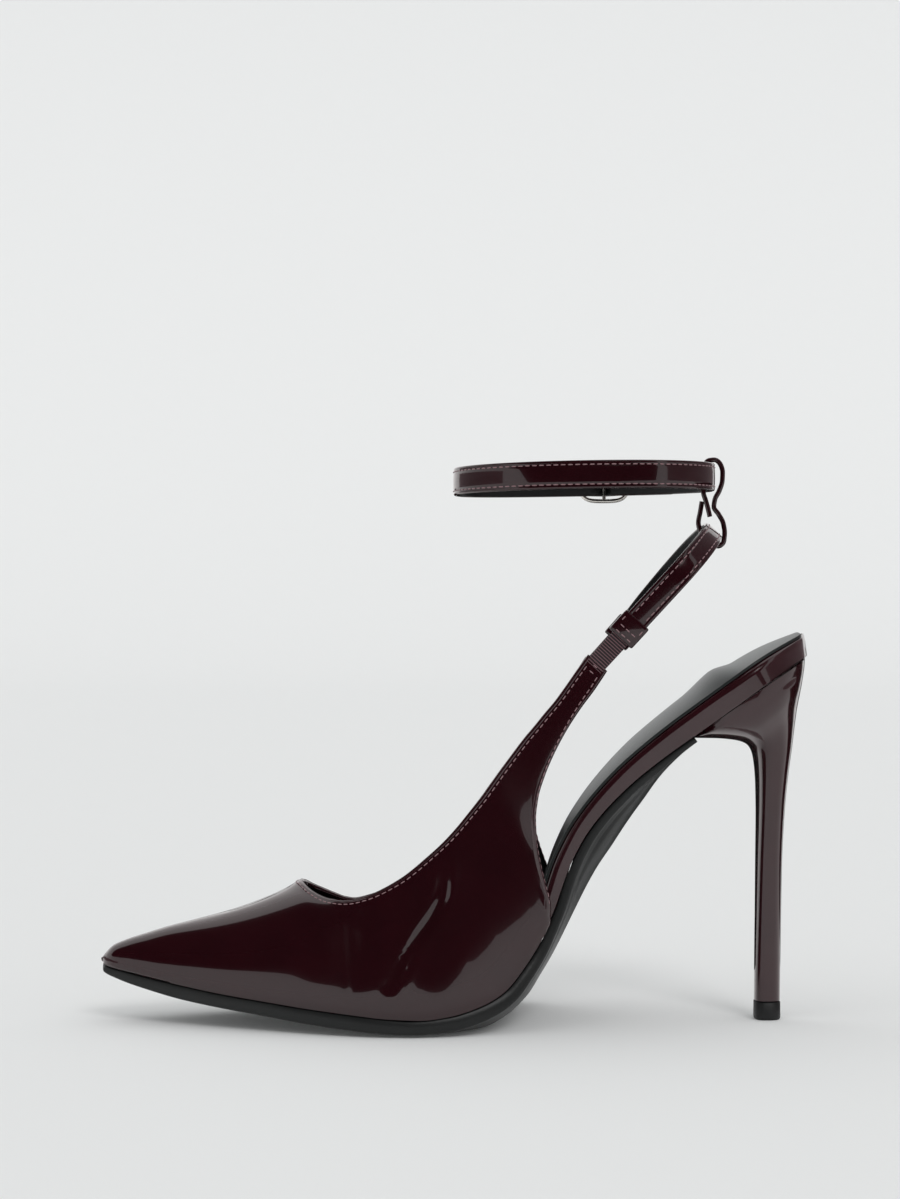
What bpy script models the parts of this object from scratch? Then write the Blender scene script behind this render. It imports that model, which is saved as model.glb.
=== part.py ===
"""Ankle strap pump for the right foot, about EU 37, with a heel of about 11 cm.

The shoe stands on its sole on the plane Z = 0. The toe points to -X, the heel to +X, the inner
side of the foot is -Y and the outer side, with the buckle, is +Y. The tables below are in
millimetres and the meshes in metres.
"""

import math

import bmesh
import bpy
import numpy as np

MM = 0.001

# Driving dimensions, mm
GAP = 0.3  # clearance between pieces that meet
WALL = 1.4  # upper leather with its lining
RIBS_PER_ROW = 2  # sections made from each row of the upper's tables
ARC_STEPS = 6  # faces from the sole's edge to the ridge or topline
STRAP_WIDTH = 8.2
STRAP_THICKNESS = 1.8
SLING_WIDTH = 7.0
SLING_THICKNESS = 2.0
SLING_GATHER = 0.6  # how much the cord draws the sling in behind the heel
SLEEVE_WIDTH = 8.9
SLEEVE_THICKNESS = 2.7
SLEEVE_LENGTH = 7.6
GORE_LENGTH = 9.6
GORE_WIDTH = 5.8
GORE_THICKNESS = 1.4
CORD_DIAMETER = 1.5
WIRE_RADIUS = 0.65
TOP_PIECE_HEIGHT = 5.4
OUTSOLE_END = 69.9  # where the outsole stops, in front of the heel
INSOLE_START = -93.0
SOCK_START = -91.0
SEAT_START = 88.0  # behind this the insole's sides turn upright
SEAT_END_LEAN = 0.15  # and lean forward by this many radians at its back end

# The sole from toe to seat. x and z: the outsole's upper edge on the inner side. skew: how much
# farther back the same section meets the outer edge. medial, lateral: the outsole's half widths.
# edge: its thickness there. belly: how much deeper its middle is. overhang: how far the upper
# stands outside it. proud: how far the insole does. height: of the insole. crown: of the sock.
SOLE = (
    ("x", "z", "skew", "medial", "lateral", "edge", "belly", "overhang", "proud", "height", "crown"),
    (-104.8, 17.2, 0.0, 3.8, -2.2, 1.6, 0.0, 0.3, -0.7, 2.0, 0.2),
    (-103.8, 16.6, 0.0, 6.0, 0.1, 2.6, 0.0, 0.6, -0.7, 2.0, 0.2),
    (-100.0, 15.7, 0.3, 8.2, 2.6, 3.4, 0.1, 0.9, -0.7, 2.0, 0.2),
    (-90.7, 13.9, 1.0, 12.4, 7.2, 3.9, 0.3, 1.0, -0.7, 2.0, 0.3),
    (-78.1, 11.7, 2.0, 17.6, 13.2, 4.0, 0.4, 1.0, -0.7, 2.0, 0.3),
    (-67.7, 10.2, 3.0, 21.9, 18.2, 4.0, 0.5, 1.0, -0.7, 2.0, 0.3),
    (-54.2, 8.7, 4.5, 27.3, 24.6, 4.1, 0.7, 1.0, -0.7, 2.0, 0.4),
    (-43.6, 7.5, 5.5, 31.1, 29.1, 4.3, 0.9, 1.0, -0.7, 2.0, 0.4),
    (-33.0, 6.5, 6.5, 34.5, 33.1, 4.4, 1.4, 1.0, -0.7, 2.0, 0.5),
    (-24.3, 5.7, 7.2, 36.5, 35.7, 4.4, 1.8, 1.0, -0.7, 2.0, 0.6),
    (-12.8, 4.8, 8.0, 37.4, 37.5, 4.0, 1.8, 1.0, -0.7, 2.0, 0.8),
    (-1.4, 5.8, 8.0, 36.0, 37.4, 4.2, 2.6, 1.0, -0.7, 2.0, 1.0),
    (5.2, 7.5, 8.0, 34.2, 36.6, 4.2, 3.8, 1.0, -0.7, 2.1, 1.2),
    (10.1, 9.4, 7.6, 32.4, 35.3, 4.1, 3.2, 1.0, -0.7, 2.3, 1.4),
    (15.0, 12.5, 7.0, 30.2, 33.3, 3.9, 2.2, 1.2, -0.5, 2.6, 1.6),
    (18.8, 16.8, 6.5, 28.3, 31.2, 3.6, 1.6, 1.4, -0.3, 3.0, 1.8),
    (23.7, 23.6, 5.8, 25.6, 28.2, 3.2, 1.4, 2.0, 0.3, 3.7, 2.0),
    (28.9, 34.0, 4.6, 23.3, 25.0, 2.8, 2.2, 2.6, 0.9, 4.6, 2.2),
    (34.0, 47.8, 3.4, 21.4, 22.6, 2.7, 4.6, 2.6, 1.1, 5.0, 2.3),
    (39.5, 57.8, 2.4, 20.6, 21.4, 2.6, 5.9, 2.6, 1.2, 5.1, 2.4),
    (50.2, 69.9, 1.0, 20.8, 21.0, 2.4, 4.6, 2.6, 1.2, 5.7, 2.4),
    (61.1, 79.0, 0.0, 21.8, 21.8, 2.0, 1.8, 2.6, 1.2, 6.3, 2.6),
    (72.6, 87.3, 0.0, 23.2, 23.2, 1.5, 0.2, 2.6, 1.0, 6.8, 3.1),
    (83.0, 94.8, 0.0, 24.0, 24.0, 1.5, 0.0, 2.6, 0.9, 6.9, 3.4),
    (90.0, 99.7, 0.0, 23.2, 23.2, 1.5, 0.0, 2.6, 0.8, 6.9, 1.0),
    (96.0, 103.6, 0.0, 19.6, 19.6, 1.5, 0.0, 2.6, 0.8, 6.8, 0.5),
    (100.6, 106.2, 0.0, 14.2, 14.2, 1.5, 0.0, 2.6, 0.8, 6.7, 0.4),
    (103.9, 107.9, 0.0, 8.2, 8.2, 1.5, 0.0, 2.6, 0.8, 6.6, 0.4),
    (105.4, 108.6, 0.0, 2.4, 2.4, 1.5, 0.0, 2.6, 0.8, 6.6, 0.4),
)

# Ribs that rise from the sole's edge. foot: x on the sole's line. x, z: the ridge, or behind the
# throat the topline on the inner side. apart: half the opening there. wrap: how far the rib has
# turned over, in degrees. roof: how straight it runs. back, drop: how much farther back and how
# much lower the outer side's topline is.
FRONT_RIBS = (
    ("foot", "x", "z", "apart", "wrap", "roof", "back", "drop"),
    (-105.0, -105.2, 18.8, 0.0, 90.0, 0.0, 0.0, 0.0),
    (-104.2, -104.0, 20.3, 0.0, 90.0, 0.0, 0.0, 0.0),
    (-101.8, -102.0, 22.3, 0.0, 90.0, 0.05, 0.0, 0.0),
    (-97.0, -97.7, 24.2, 0.0, 90.0, 0.1, 0.0, 0.0),
    (-90.7, -91.7, 26.1, 0.0, 90.0, 0.15, 0.0, 0.0),
    (-84.4, -85.4, 28.0, 0.0, 90.0, 0.2, 0.0, 0.0),
    (-78.1, -79.4, 29.5, 0.0, 90.0, 0.2, 0.0, 0.0),
    (-70.0, -71.9, 31.4, 0.0, 90.0, 0.2, 0.0, 0.0),
    (-62.0, -63.8, 33.5, 0.0, 90.0, 0.2, 0.0, 0.0),
    (-54.2, -55.8, 36.5, 0.0, 90.0, 0.2, 0.0, 0.0),
    (-49.0, -50.4, 39.0, 0.0, 90.0, 0.2, 0.0, 0.0),
    (-45.0, -46.1, 41.9, 0.0, 90.0, 0.2, 0.0, 0.0),
    (-42.8, -44.9, 41.4, 5.0, 81.0, 0.2, 0.0, 0.1),
    (-40.2, -42.8, 40.1, 10.0, 72.0, 0.2, 0.0, 0.5),
    (-37.2, -39.6, 38.8, 15.0, 63.0, 0.2, 0.0, 1.2),
    (-34.0, -36.5, 38.2, 19.0, 55.0, 0.2, 0.0, 2.4),
    (-30.6, -33.4, 38.1, 22.0, 49.0, 0.2, 0.0, 3.8),
    (-27.0, -30.4, 38.4, 24.3, 45.0, 0.2, 0.2, 4.7),
    (-20.0, -24.5, 40.2, 27.2, 41.0, 0.15, 1.7, 4.8),
    (-10.0, -15.7, 44.9, 28.8, 38.0, 0.1, 2.4, 3.8),
    (-1.4, -8.5, 50.6, 29.4, 36.0, 0.1, 2.6, 2.9),
    (5.2, -3.0, 55.7, 29.5, 34.0, 0.1, 2.6, 2.6),
    (10.1, 0.6, 59.6, 29.5, 32.0, 0.1, 2.6, 2.4),
    (15.0, 3.6, 63.2, 29.4, 30.0, 0.1, 2.55, 2.35),
    (20.2, 6.0, 66.1, 29.3, 28.0, 0.1, 2.5, 2.3),
    (25.0, 8.0, 68.6, 29.2, 26.5, 0.1, 2.5, 2.25),
    (28.2, 9.8, 71.1, 29.0, 25.0, 0.1, 2.45, 2.25),
)

# Ribs that rise from the quarter's back edge. low_x, low_z, low_y: on that edge, inner side. out_y:
# half the width there on the outer side.
# shift: how much farther back that edge is on the outer side. back, drop: how far the whole rib is
# moved there. The other columns are as above.
BACK_RIBS = (
    ("low_x", "low_z", "low_y", "out_y", "shift", "x", "z", "apart", "wrap", "back", "drop"),
    (27.9, 37.0, 26.3, 28.2, 1.8, 11.3, 73.2, 28.8, 24.0, 2.43, 2.23),
    (26.6, 42.4, 26.8, 28.4, 1.0, 13.0, 75.6, 28.6, 23.0, 2.36, 2.16),
    (25.1, 48.4, 27.3, 28.5, 0.1, 15.3, 78.7, 28.4, 22.0, 2.28, 2.1),
    (24.0, 55.0, 27.8, 28.6, -0.85, 17.8, 82.1, 28.1, 21.0, 2.25, 2.06),
    (23.6, 61.8, 28.1, 28.7, -1.5, 20.4, 85.5, 27.8, 20.0, 2.21, 2.03),
    (24.3, 68.1, 28.1, 28.5, -1.6, 23.2, 88.8, 27.4, 20.0, 2.17, 1.99),
    (26.2, 74.4, 27.9, 28.2, -1.3, 26.2, 92.5, 27.0, 20.0, 2.14, 1.96),
    (29.2, 81.4, 27.5, 27.8, -0.8, 29.3, 96.2, 26.6, 20.0, 2.06, 1.89),
    (32.6, 87.8, 26.9, 27.2, -0.4, 32.2, 100.2, 26.2, 20.0, 1.99, 1.83),
    (36.6, 94.0, 26.2, 26.5, -0.1, 35.0, 104.2, 25.8, 20.0, 1.92, 1.76),
    (40.6, 99.4, 25.6, 25.9, 0.0, 37.1, 107.1, 25.5, 20.0, 1.84, 1.69),
    (44.2, 104.8, 25.2, 25.4, 0.0, 38.8, 109.5, 25.2, 20.0, 1.77, 1.62),
)
TOE_SOLID_ROWS = 3  # the toe is solid leather up to this row
UPPER_BULGE = 1.0  # how far the upper swells over the sole's edge

# The heel from the seat down: its front and back edges in side view and its half width.
HEEL = (
    ("front_x", "front_z", "back_x", "back_z", "half"),
    (70.4, 85.6, 104.6, 108.1, 23.6),
    (71.3, 84.3, 104.5, 106.2, 23.4),
    (77.4, 84.2, 104.1, 103.6, 22.4),
    (82.5, 83.8, 103.6, 100.6, 20.6),
    (85.8, 83.1, 103.0, 97.4, 18.2),
    (88.0, 81.9, 102.3, 93.4, 15.6),
    (89.3, 79.8, 101.7, 88.4, 13.2),
    (90.0, 76.2, 101.0, 82.0, 11.2),
    (90.4, 70.4, 99.9, 73.6, 9.6),
    (90.5, 62.0, 98.9, 63.4, 8.2),
    (90.3, 47.0, 98.1, 47.6, 6.7),
    (90.1, 30.0, 97.8, 30.2, 5.5),
    (89.9, 15.0, 97.6, 15.0, 4.8),
    (89.8, 5.7, 97.5, 5.7, 4.4),
)

# The sling strap lies in one slanted plane: forward edge of the quarter's end, and its direction.
SLING_START = (41.5, 107.15)
SLING_SLOPE = math.radians(47.5)
SLING_TURN_START = 33.0
SLING_TURN_DEPTH = 19.7
SLING_HALF_START = 25.4
SLING_HALF = 27.4
# How much lower the sling lies on the outer side, square to its slope, so far along it.
SLING_DIP = (
    ("along", "dip"),
    (0.0, 2.4),
    (14.0, 2.3),
    (26.0, 1.5),
    (38.0, 0.9),
    (52.7, 0.0),
)

# The ankle strap: an oval ring, seen from above, that overlaps itself on the outer side.
ANKLE_CENTRE_X = 38.8
ANKLE_HALF_X = 38.2
ANKLE_HALF_Y = 30.1
ANKLE_ROUNDNESS = 2.2
ANKLE_FRONT_Z = 160.8
ANKLE_RISE = 1.3
ANKLE_BOW = 0.3
BUCKLE_ANGLE = 80.3
# turn: degrees round the ring. out: how far the strap's middle lies outside the oval there.
ANKLE_OFFSET = (
    ("turn", "out"),
    (76.3, -2.2),
    (36.0, -2.2),
    (2.0, 0.0),
    (-259.0, 0.0),
    (-266.0, 0.15),
    (-272.6, 0.2),
    (-279.7, 3.8),
    (-286.8, 0.2),
    (-293.0, 0.1),
    (-299.0, -0.1),
    (-323.0, -0.1),
)
BUCKLE_TURNS = np.array([-14.5, -10.5, -7.0, -3.5, 0.0, 3.5, 7.0, 10.5, 13.5])
TIP_LENGTH = 5.0
ANKLE_STEPS = 54

# The buckle in the plane of the strap: along it, and up.
BUCKLE_LENGTH = 16.0
BUCKLE_HEIGHT = 12.6
BUCKLE_OUT = 1.8
BUCKLE_ROUNDNESS = 3.0
BUCKLE_Z = 161.9
PRONG_RADIUS = 0.6
PRONG_ROUTE = ((0.9, 5.35), (0.0, 5.6), (-2.6, 5.2), (-5.0, 4.1), (-7.0, 3.45), (-8.3, 3.2))

# The cord that ties the sling to the ankle strap, by hand: x, y, z.
CORD_ROUTE = (
    (76.5, -0.9, 150.4),
    (76.0, -0.8, 152.6),
    (75.3, -0.6, 155.2),
    (74.6, -0.4, 157.6),
    (74.4, -0.2, 162.0),
    (74.9, 0.0, 165.6),
    (76.2, 0.0, 167.3),
    (78.0, 0.0, 167.5),
    (79.7, 0.0, 166.2),
    (80.4, 0.0, 163.8),
    (80.3, 0.0, 161.2),
    (79.4, 0.1, 158.2),
    (78.1, 0.2, 155.6),
    (77.8, 0.3, 153.4),
    (79.2, 0.2, 151.2),
    (80.6, 0.0, 148.4),
    (81.0, 0.0, 145.6),
    (80.7, 0.0, 142.9),
    (79.1, 0.0, 141.6),
    (77.4, 0.0, 142.2),
    (75.7, 0.2, 144.1),
    (73.7, 0.5, 146.2),
    (73.2, 0.7, 148.6),
    (73.8, 0.9, 152.0),
    (74.3, 1.0, 155.0),
)
CORD_POINTS = 42


def columns(table):
    """The table's columns by name, as arrays."""
    rows = np.array(table[1:], float)
    return {name: rows[:, i] for i, name in enumerate(table[0])}


def smooth(at, known, values):
    """A curve through the known values that never overshoots them: cubics whose slope at each
    value is the weighted harmonic mean of the slopes beside it, or level at a high or low one."""
    at = np.asarray(at, float)
    steps = np.diff(known)
    rise = np.diff(values) / steps
    before, after = rise[:-1], rise[1:]
    weigh_before = 2 * steps[1:] + steps[:-1]
    weigh_after = steps[1:] + 2 * steps[:-1]
    same_way = before * after > 0
    safe_before = np.where(same_way, before, 1.0)
    safe_after = np.where(same_way, after, 1.0)
    mean = (weigh_before + weigh_after) / (weigh_before / safe_before + weigh_after / safe_after)
    slope = np.concatenate([rise[:1], np.where(same_way, mean, 0.0), rise[-1:]])
    i = np.clip(np.searchsorted(known, at, side="right") - 1, 0, len(steps) - 1)
    t = (at - known[i]) / steps[i]
    from_start = (1 + 2 * t) * (1 - t) ** 2 * values[i] + t * (1 - t) ** 2 * steps[i] * slope[i]
    to_end = t * t * (3 - 2 * t) * values[i + 1] + t * t * (t - 1) * steps[i] * slope[i + 1]
    return from_start + to_end


def through(points, count):
    """count points evenly along a smooth curve through a list of points."""
    points = np.array(points, float)
    known = np.concatenate([[0.0], np.cumsum(np.linalg.norm(np.diff(points, axis=0), axis=1))])
    at = np.linspace(0.0, known[-1], count)
    return np.stack([smooth(at, known, points[:, k]) for k in range(points.shape[1])], axis=1)


SOLE_COLUMNS = columns(SOLE)


def sole(name, x):
    return smooth(x, SOLE_COLUMNS["x"], SOLE_COLUMNS[name])


def sole_up(x):
    """The direction away from the ground across the sole, turning upright at the seat's end."""
    reach = 1.5
    rise = sole("z", x + reach) - sole("z", x - reach)
    turn = np.arctan2(rise, 2 * reach)
    end = np.clip((x - SEAT_START) / (SOLE_COLUMNS["x"][-1] - SEAT_START), 0.0, 1.0)
    turn = turn * (1 - end * end * (3 - 2 * end)) + SEAT_END_LEAN * end
    return -np.sin(turn), np.cos(turn)


def sole_point(x, y, height):
    """A point that far above the sole's upper edge, at this section and this y."""
    medial, lateral = sole("medial", x), sole("lateral", x)
    across = np.clip((y + medial) / np.maximum(medial + lateral, 1.0), 0.0, 1.0)
    up_x, up_z = sole_up(x)
    return np.stack([x + sole("skew", x) * across + height * up_x, y, sole("z", x) + height * up_z], axis=-1)


def new_material(name, colour, roughness, metallic=0.0):
    material = bpy.data.materials.new(name)
    material.use_nodes = True
    shader = material.node_tree.nodes["Principled BSDF"]
    shader.inputs["Base Color"].default_value = (*colour, 1.0)
    shader.inputs["Roughness"].default_value = roughness
    shader.inputs["Metallic"].default_value = metallic
    return material


def new_object(name, vertices, faces, material):
    """A smooth-shaded object from points in millimetres, with its faces turned outwards."""
    mesh = bpy.data.meshes.new(name)
    work = bmesh.new()
    corners = [work.verts.new([c * MM for c in p]) for p in vertices]
    for face in faces:
        work.faces.new([corners[i] for i in face])
    bmesh.ops.triangulate(work, faces=[f for f in work.faces if len(f.verts) > 4])
    bmesh.ops.recalc_face_normals(work, faces=work.faces)
    work.to_mesh(mesh)
    work.free()
    mesh.shade_smooth()
    mesh.set_sharp_from_angle(angle=math.radians(40))
    mesh.materials.append(material)
    piece = bpy.data.objects.new(name, mesh)
    bpy.context.collection.objects.link(piece)
    return piece


def cap_across(around):
    """Faces that close a section straight across from each point to its mirror image."""
    half = around // 2
    strips = [(k, k + 1, around - k - 1, around - k) for k in range(1, half - 1)]
    return [(0, 1, around - 1), *strips, (half - 1, half, half + 1)]


def loft(name, rings, material, closed=False, first_cap=None):
    """A solid through closed sections of the same number of points, capped unless it is a ring."""
    count, around = rings.shape[:2]
    faces = []
    for i in range(count if closed else count - 1):
        here, there = i * around, (i + 1) % count * around
        faces += [(here + k, here + (k + 1) % around, there + (k + 1) % around, there + k) for k in range(around)]
    if not closed:
        faces += first_cap or [tuple(range(around))]
        faces.append(tuple(range((count - 1) * around, count * around)))
    return new_object(name, rings.reshape(-1, 3), faces, material)


def spread(values, between):
    """The values with more placed evenly between each two."""
    index = np.arange(len(values))
    return np.interp(np.linspace(0, len(values) - 1, (len(values) - 1) * between + 1), index, values)


def outsole(material):
    """Across: a level upper face, an edge, and an underside with a belly that is cut off by the floor."""
    stations = spread(np.append(SOLE_COLUMNS["x"][SOLE_COLUMNS["x"] < OUTSOLE_END], OUTSOLE_END), 2)
    below = np.linspace(1.0, -1.0, 9)
    rings = []
    for x in stations:
        medial, lateral = sole("medial", x), sole("lateral", x)
        middle, half = (lateral - medial) / 2, (lateral + medial) / 2
        edge, belly = sole("edge", x), sole("belly", x)
        top = [(middle - half + 0.2, 0.0), (middle, 0.0), (middle + half - 0.2, 0.0)]
        side = 0.4 * edge
        under = [(middle + half * 0.97 * b, -edge - belly * (1 - abs(b) ** 3)) for b in below]
        profile = top + [(middle + half, -side)] + under + [(middle - half, -side)]
        y, height = np.array(profile).T
        ring = sole_point(np.full(len(y), x), y, height)
        ring[:, 2] = np.maximum(ring[:, 2], 0.0)
        rings.append(ring)
    return loft("outsole", np.array(rings), material)


def slab(stations, inset, low, high, crown, corner):
    """Sections of a layer on the sole with a rounded upper edge. low and high are heights above
    the sole's line, inset is how far it stays inside the insole's edge, crown its rise inside."""
    rings = []
    for x, floor, top, rise in zip(stations, low, high, crown):
        medial = sole("medial", x) + sole("proud", x) - inset
        lateral = sole("lateral", x) + sole("proud", x) - inset
        middle, half = (lateral - medial) / 2, (lateral + medial) / 2
        bend = min(corner, (top - floor) * 0.6, half * 0.5)
        profile = [(middle - half + bend * 0.3, floor), (middle + half - bend * 0.3, floor)]
        profile += [(middle + half, floor + bend * 0.4), (middle + half, top - bend)]
        profile += [(middle + half - bend * 0.3, top - bend * 0.3)]
        for share in (1.0, 0.6, 0.0, -0.6, -1.0):
            profile.append((middle + (half - bend) * share, top + rise * (1 - share * share)))
        profile += [(middle - half + bend * 0.3, top - bend * 0.3)]
        profile += [(middle - half, top - bend), (middle - half, floor + bend * 0.4)]
        y, height = np.array(profile).T
        rings.append(sole_point(np.full(len(y), x), y, height))
    return np.array(rings)


def insole_stations(start):
    inside = SOLE_COLUMNS["x"][SOLE_COLUMNS["x"] > start + 2]
    return spread(np.concatenate([[start], inside]), 2)


def insole_board(material):
    """The insole: thin inside the upper, and a thick covered edge in the waist and the seat."""
    x = insole_stations(INSOLE_START)
    rings = slab(x, 0.0, np.full(len(x), GAP), sole("height", x), np.zeros(len(x)), 1.2)
    return loft("insole_board", rings, material)


def insole_sock(material):
    """The padded sock on the insole, highest under the heel and thin behind it."""
    x = insole_stations(SOCK_START)
    x = x[x < SOLE_COLUMNS["x"][-2] + GAP]
    low = sole("height", x) + GAP
    rings = slab(x, 1.1, low, low + 0.6, sole("crown", x), 0.4)
    return loft("insole_sock", rings, material)


def upper_rows():
    """Both tables as one list of ribs: for each, its lower and upper ends on the inner and outer
    sides, as points, and how it wraps and how straight it runs."""
    front, back = columns(FRONT_RIBS), columns(BACK_RIBS)
    foot = front["foot"]
    over = sole("overhang", foot)
    medial, lateral = sole("medial", foot), sole("lateral", foot)
    low_in = sole_point(foot, -medial, GAP + 0 * foot)
    low_out = sole_point(foot, lateral, GAP + 0 * foot)
    low_in[:, 1] -= over
    low_out[:, 1] += over
    middle = np.where(foot < 0, (lateral - medial) / 2, 0.0)
    high_in = np.stack([front["x"], middle - front["apart"], front["z"]], axis=1)
    front_high = [front["x"] + front["back"], middle + front["apart"], front["z"] - front["drop"]]
    high_out = np.stack(front_high, axis=1)
    flat = np.zeros(len(back["x"]))
    low_in = np.vstack([low_in, np.stack([back["low_x"], -back["low_y"], back["low_z"]], axis=1)])
    low_out_x = back["low_x"] + back["shift"] + back["back"]
    back_out = np.stack([low_out_x, back["out_y"], back["low_z"] - back["drop"]], axis=1)
    low_out = np.vstack([low_out, back_out])
    high_in = np.vstack([high_in, np.stack([back["x"], -back["apart"], back["z"]], axis=1)])
    back_high = np.stack([back["x"] + back["back"], back["apart"], back["z"] - back["drop"]], axis=1)
    high_out = np.vstack([high_out, back_high])
    wrap = np.radians(np.concatenate([front["wrap"], back["wrap"]]))
    roof = np.concatenate([front["roof"], flat + front["roof"][-1]])
    swell = np.concatenate([UPPER_BULGE * np.clip((over - 0.3) / 0.7, 0, 1), flat])
    return low_in, low_out, high_in, high_out, wrap, roof, swell


def finer(rows, between):
    """More rows between the given ones, along a smooth curve through them."""
    known = np.arange(len(rows), dtype=float)
    at = np.linspace(0, len(rows) - 1, (len(rows) - 1) * between + 1)
    if rows.ndim == 1:
        return smooth(at, known, rows)
    return np.stack([smooth(at, known, rows[:, k]) for k in range(rows.shape[1])], axis=1)


def side_of_upper(low, high, wrap, roof, swell, steps, outwards):
    """Points of one side. In side view a rib runs straight from its lower to its upper end, by the
    sine of its turning angle, and sideways it moves by one less the cosine, so that it leaves the
    sole upright. roof draws its middle towards the straight line and swell pushes its foot out."""
    v = np.linspace(0.0, 1.0, steps + 1)[None, :]
    angle = wrap[:, None] * v
    up = np.sin(angle) / np.sin(wrap)[:, None]
    across = (1 - np.cos(angle)) / (1 - np.cos(wrap))[:, None]
    straighten = roof[:, None] * np.sin(math.pi * v) ** 2
    up = up + straighten * (v - up)
    across = across + straighten * (v - across)
    x = low[:, None, 0] + (high - low)[:, None, 0] * up
    z = low[:, None, 2] + (high - low)[:, None, 2] * up
    y = low[:, None, 1] + (high - low)[:, None, 1] * across
    y = y + outwards * swell[:, None] * np.sin(math.pi * v) * (1 - v)
    return np.stack([x, y, z], axis=2)


def inner_face(grid, outwards):
    """The same side moved in by the wall, square to the surface. The lower edge and the end of the
    quarter move straight in, so that their cut edges are level."""
    along = np.gradient(grid, axis=0)
    rib = np.gradient(grid, axis=1)
    normal = np.cross(along, rib)
    normal /= np.linalg.norm(normal, axis=2, keepdims=True)
    normal *= np.where(np.sum(normal[:, :1] * [0.0, outwards, 0.0], axis=2, keepdims=True) < 0, -1, 1)
    inner = grid - WALL * normal
    for edge in (np.s_[:, 0], np.s_[-1, :]):
        inner[edge] = grid[edge]
        inner[edge][..., 1] -= outwards * WALL
    return inner


def upper(material):
    """One hollow solid: both sides joined along the ridge, open at the throat, at the back and
    underneath, with its cut edges closed between the outer and the inner face."""
    low_in, low_out, high_in, high_out, wrap, roof, swell = [finer(r, RIBS_PER_ROW) for r in upper_rows()]
    throat = int(np.argmax(columns(FRONT_RIBS)["apart"] > 0) - 1) * RIBS_PER_ROW
    nose = TOE_SOLID_ROWS * RIBS_PER_ROW
    sides = [
        side_of_upper(low_in, high_in, wrap, roof, swell, ARC_STEPS, -1),
        side_of_upper(low_out, high_out, wrap, roof, swell, ARC_STEPS, 1),
    ]
    linings = [inner_face(sides[0], -1), inner_face(sides[1], 1)]
    ridge = (linings[0][: throat + 1, -1] + linings[1][: throat + 1, -1]) / 2
    for lining in linings:
        lining[: throat + 1, -1] = ridge
    ribs, across = sides[0].shape[:2]
    layers = sides + linings
    points = np.concatenate([layer.reshape(-1, 3) for layer in layers])
    number = np.arange(len(points)).reshape(4, ribs, across)
    number[1, : throat + 1, -1] = number[0, : throat + 1, -1]
    number[3, : throat + 1, -1] = number[2, : throat + 1, -1]
    faces = []
    for layer in range(4):
        n = number[layer]
        first = nose if layer > 1 else 0
        for i in range(first, ribs - 1):
            faces += [(n[i, j], n[i + 1, j], n[i + 1, j + 1], n[i, j + 1]) for j in range(across - 1)]
    for out, lined in ((number[0], number[2]), (number[1], number[3])):
        faces += [(out[i, 0], out[i + 1, 0], lined[i + 1, 0], lined[i, 0]) for i in range(nose, ribs - 1)]
        faces += [(out[i, -1], out[i + 1, -1], lined[i + 1, -1], lined[i, -1]) for i in range(throat, ribs - 1)]
        faces += [(out[-1, j], out[-1, j + 1], lined[-1, j + 1], lined[-1, j]) for j in range(across - 1)]
    m, t, mi, ti = number
    faces += [(m[i, 0], m[i + 1, 0], t[i + 1, 0], t[i, 0]) for i in range(nose - 1)]
    faces.append((m[nose - 1, 0], m[nose, 0], mi[nose, 0], ti[nose, 0], t[nose, 0], t[nose - 1, 0]))
    faces.append(tuple(m[0]) + tuple(t[0, -2::-1]))
    faces.append(tuple(mi[nose]) + tuple(ti[nose, -2::-1]))
    used = np.unique(np.concatenate([np.ravel(f) for f in faces]))
    compact = np.zeros(len(points), int)
    compact[used] = np.arange(len(used))
    faces = [tuple(int(compact[i]) for i in f) for f in faces]
    return new_object("upper", points[used], faces, material)


def heel_section(front, back, half, points=16):
    """A closed section: round behind, and flatter across the front."""
    turn = np.linspace(0, 2 * math.pi, points, endpoint=False)
    c, s = np.cos(turn), np.sin(turn)
    along = np.where(c > 0, np.abs(c) ** (2 / 2.2), -np.abs(c) ** (2 / 3.6))
    across = np.sign(s) * np.abs(s) ** (2 / 2.3)
    middle, reach = (front + back) / 2, (back - front) / 2
    spot = middle[None, :] + along[:, None] * reach[None, :]
    return np.stack([spot[:, 0], half * across, spot[:, 1]], axis=1)


def heel(material):
    rows = [finer(c, 2) for c in columns(HEEL).values()]
    front_x, front_z, back_x, back_z, half = rows
    rings = [
        heel_section(np.array([fx, fz]), np.array([bx, bz]), w)
        for fx, fz, bx, bz, w in zip(front_x, front_z, back_x, back_z, half)
    ]
    rings[0][:, 2] = sole("z", rings[0][:, 0])
    return loft("heel", np.array(rings), material, first_cap=cap_across(len(rings[0])))


def top_piece(material):
    """The hard rubber tip under the heel, flat on the floor, with a slight lip in front."""
    sizes = ((TOP_PIECE_HEIGHT, 0.0, 0.0), (0.7, 0.1, 0.05), (0.0, -0.1, -0.1))
    rings = []
    for z, lip, wider in sizes:
        front, back = np.array([89.75 - lip, z]), np.array([97.6 + wider, z])
        rings.append(heel_section(front, back, 4.4 + wider))
    return loft("top_piece", np.array(rings), material)


def band(name, route, side, up, widths, thicknesses, material):
    """A flat strap with bevelled edges: a section at each point of its route, wide along up and
    thick along side."""
    cut = 0.35
    rings = []
    for place, out, along_up, width, thick in zip(route, side, up, widths, thicknesses):
        w, t = width / 2, thick / 2
        bevel = min(cut, w * 0.5)
        corners = ((-w, -t + cut), (-w + bevel, -t), (w - bevel, -t), (w, -t + cut))
        corners += ((w, t - cut), (w - bevel, t), (-w + bevel, t), (-w, t - cut))
        rings.append([place + a * along_up + b * out for a, b in corners])
    return loft(name, np.array(rings), material)


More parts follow.
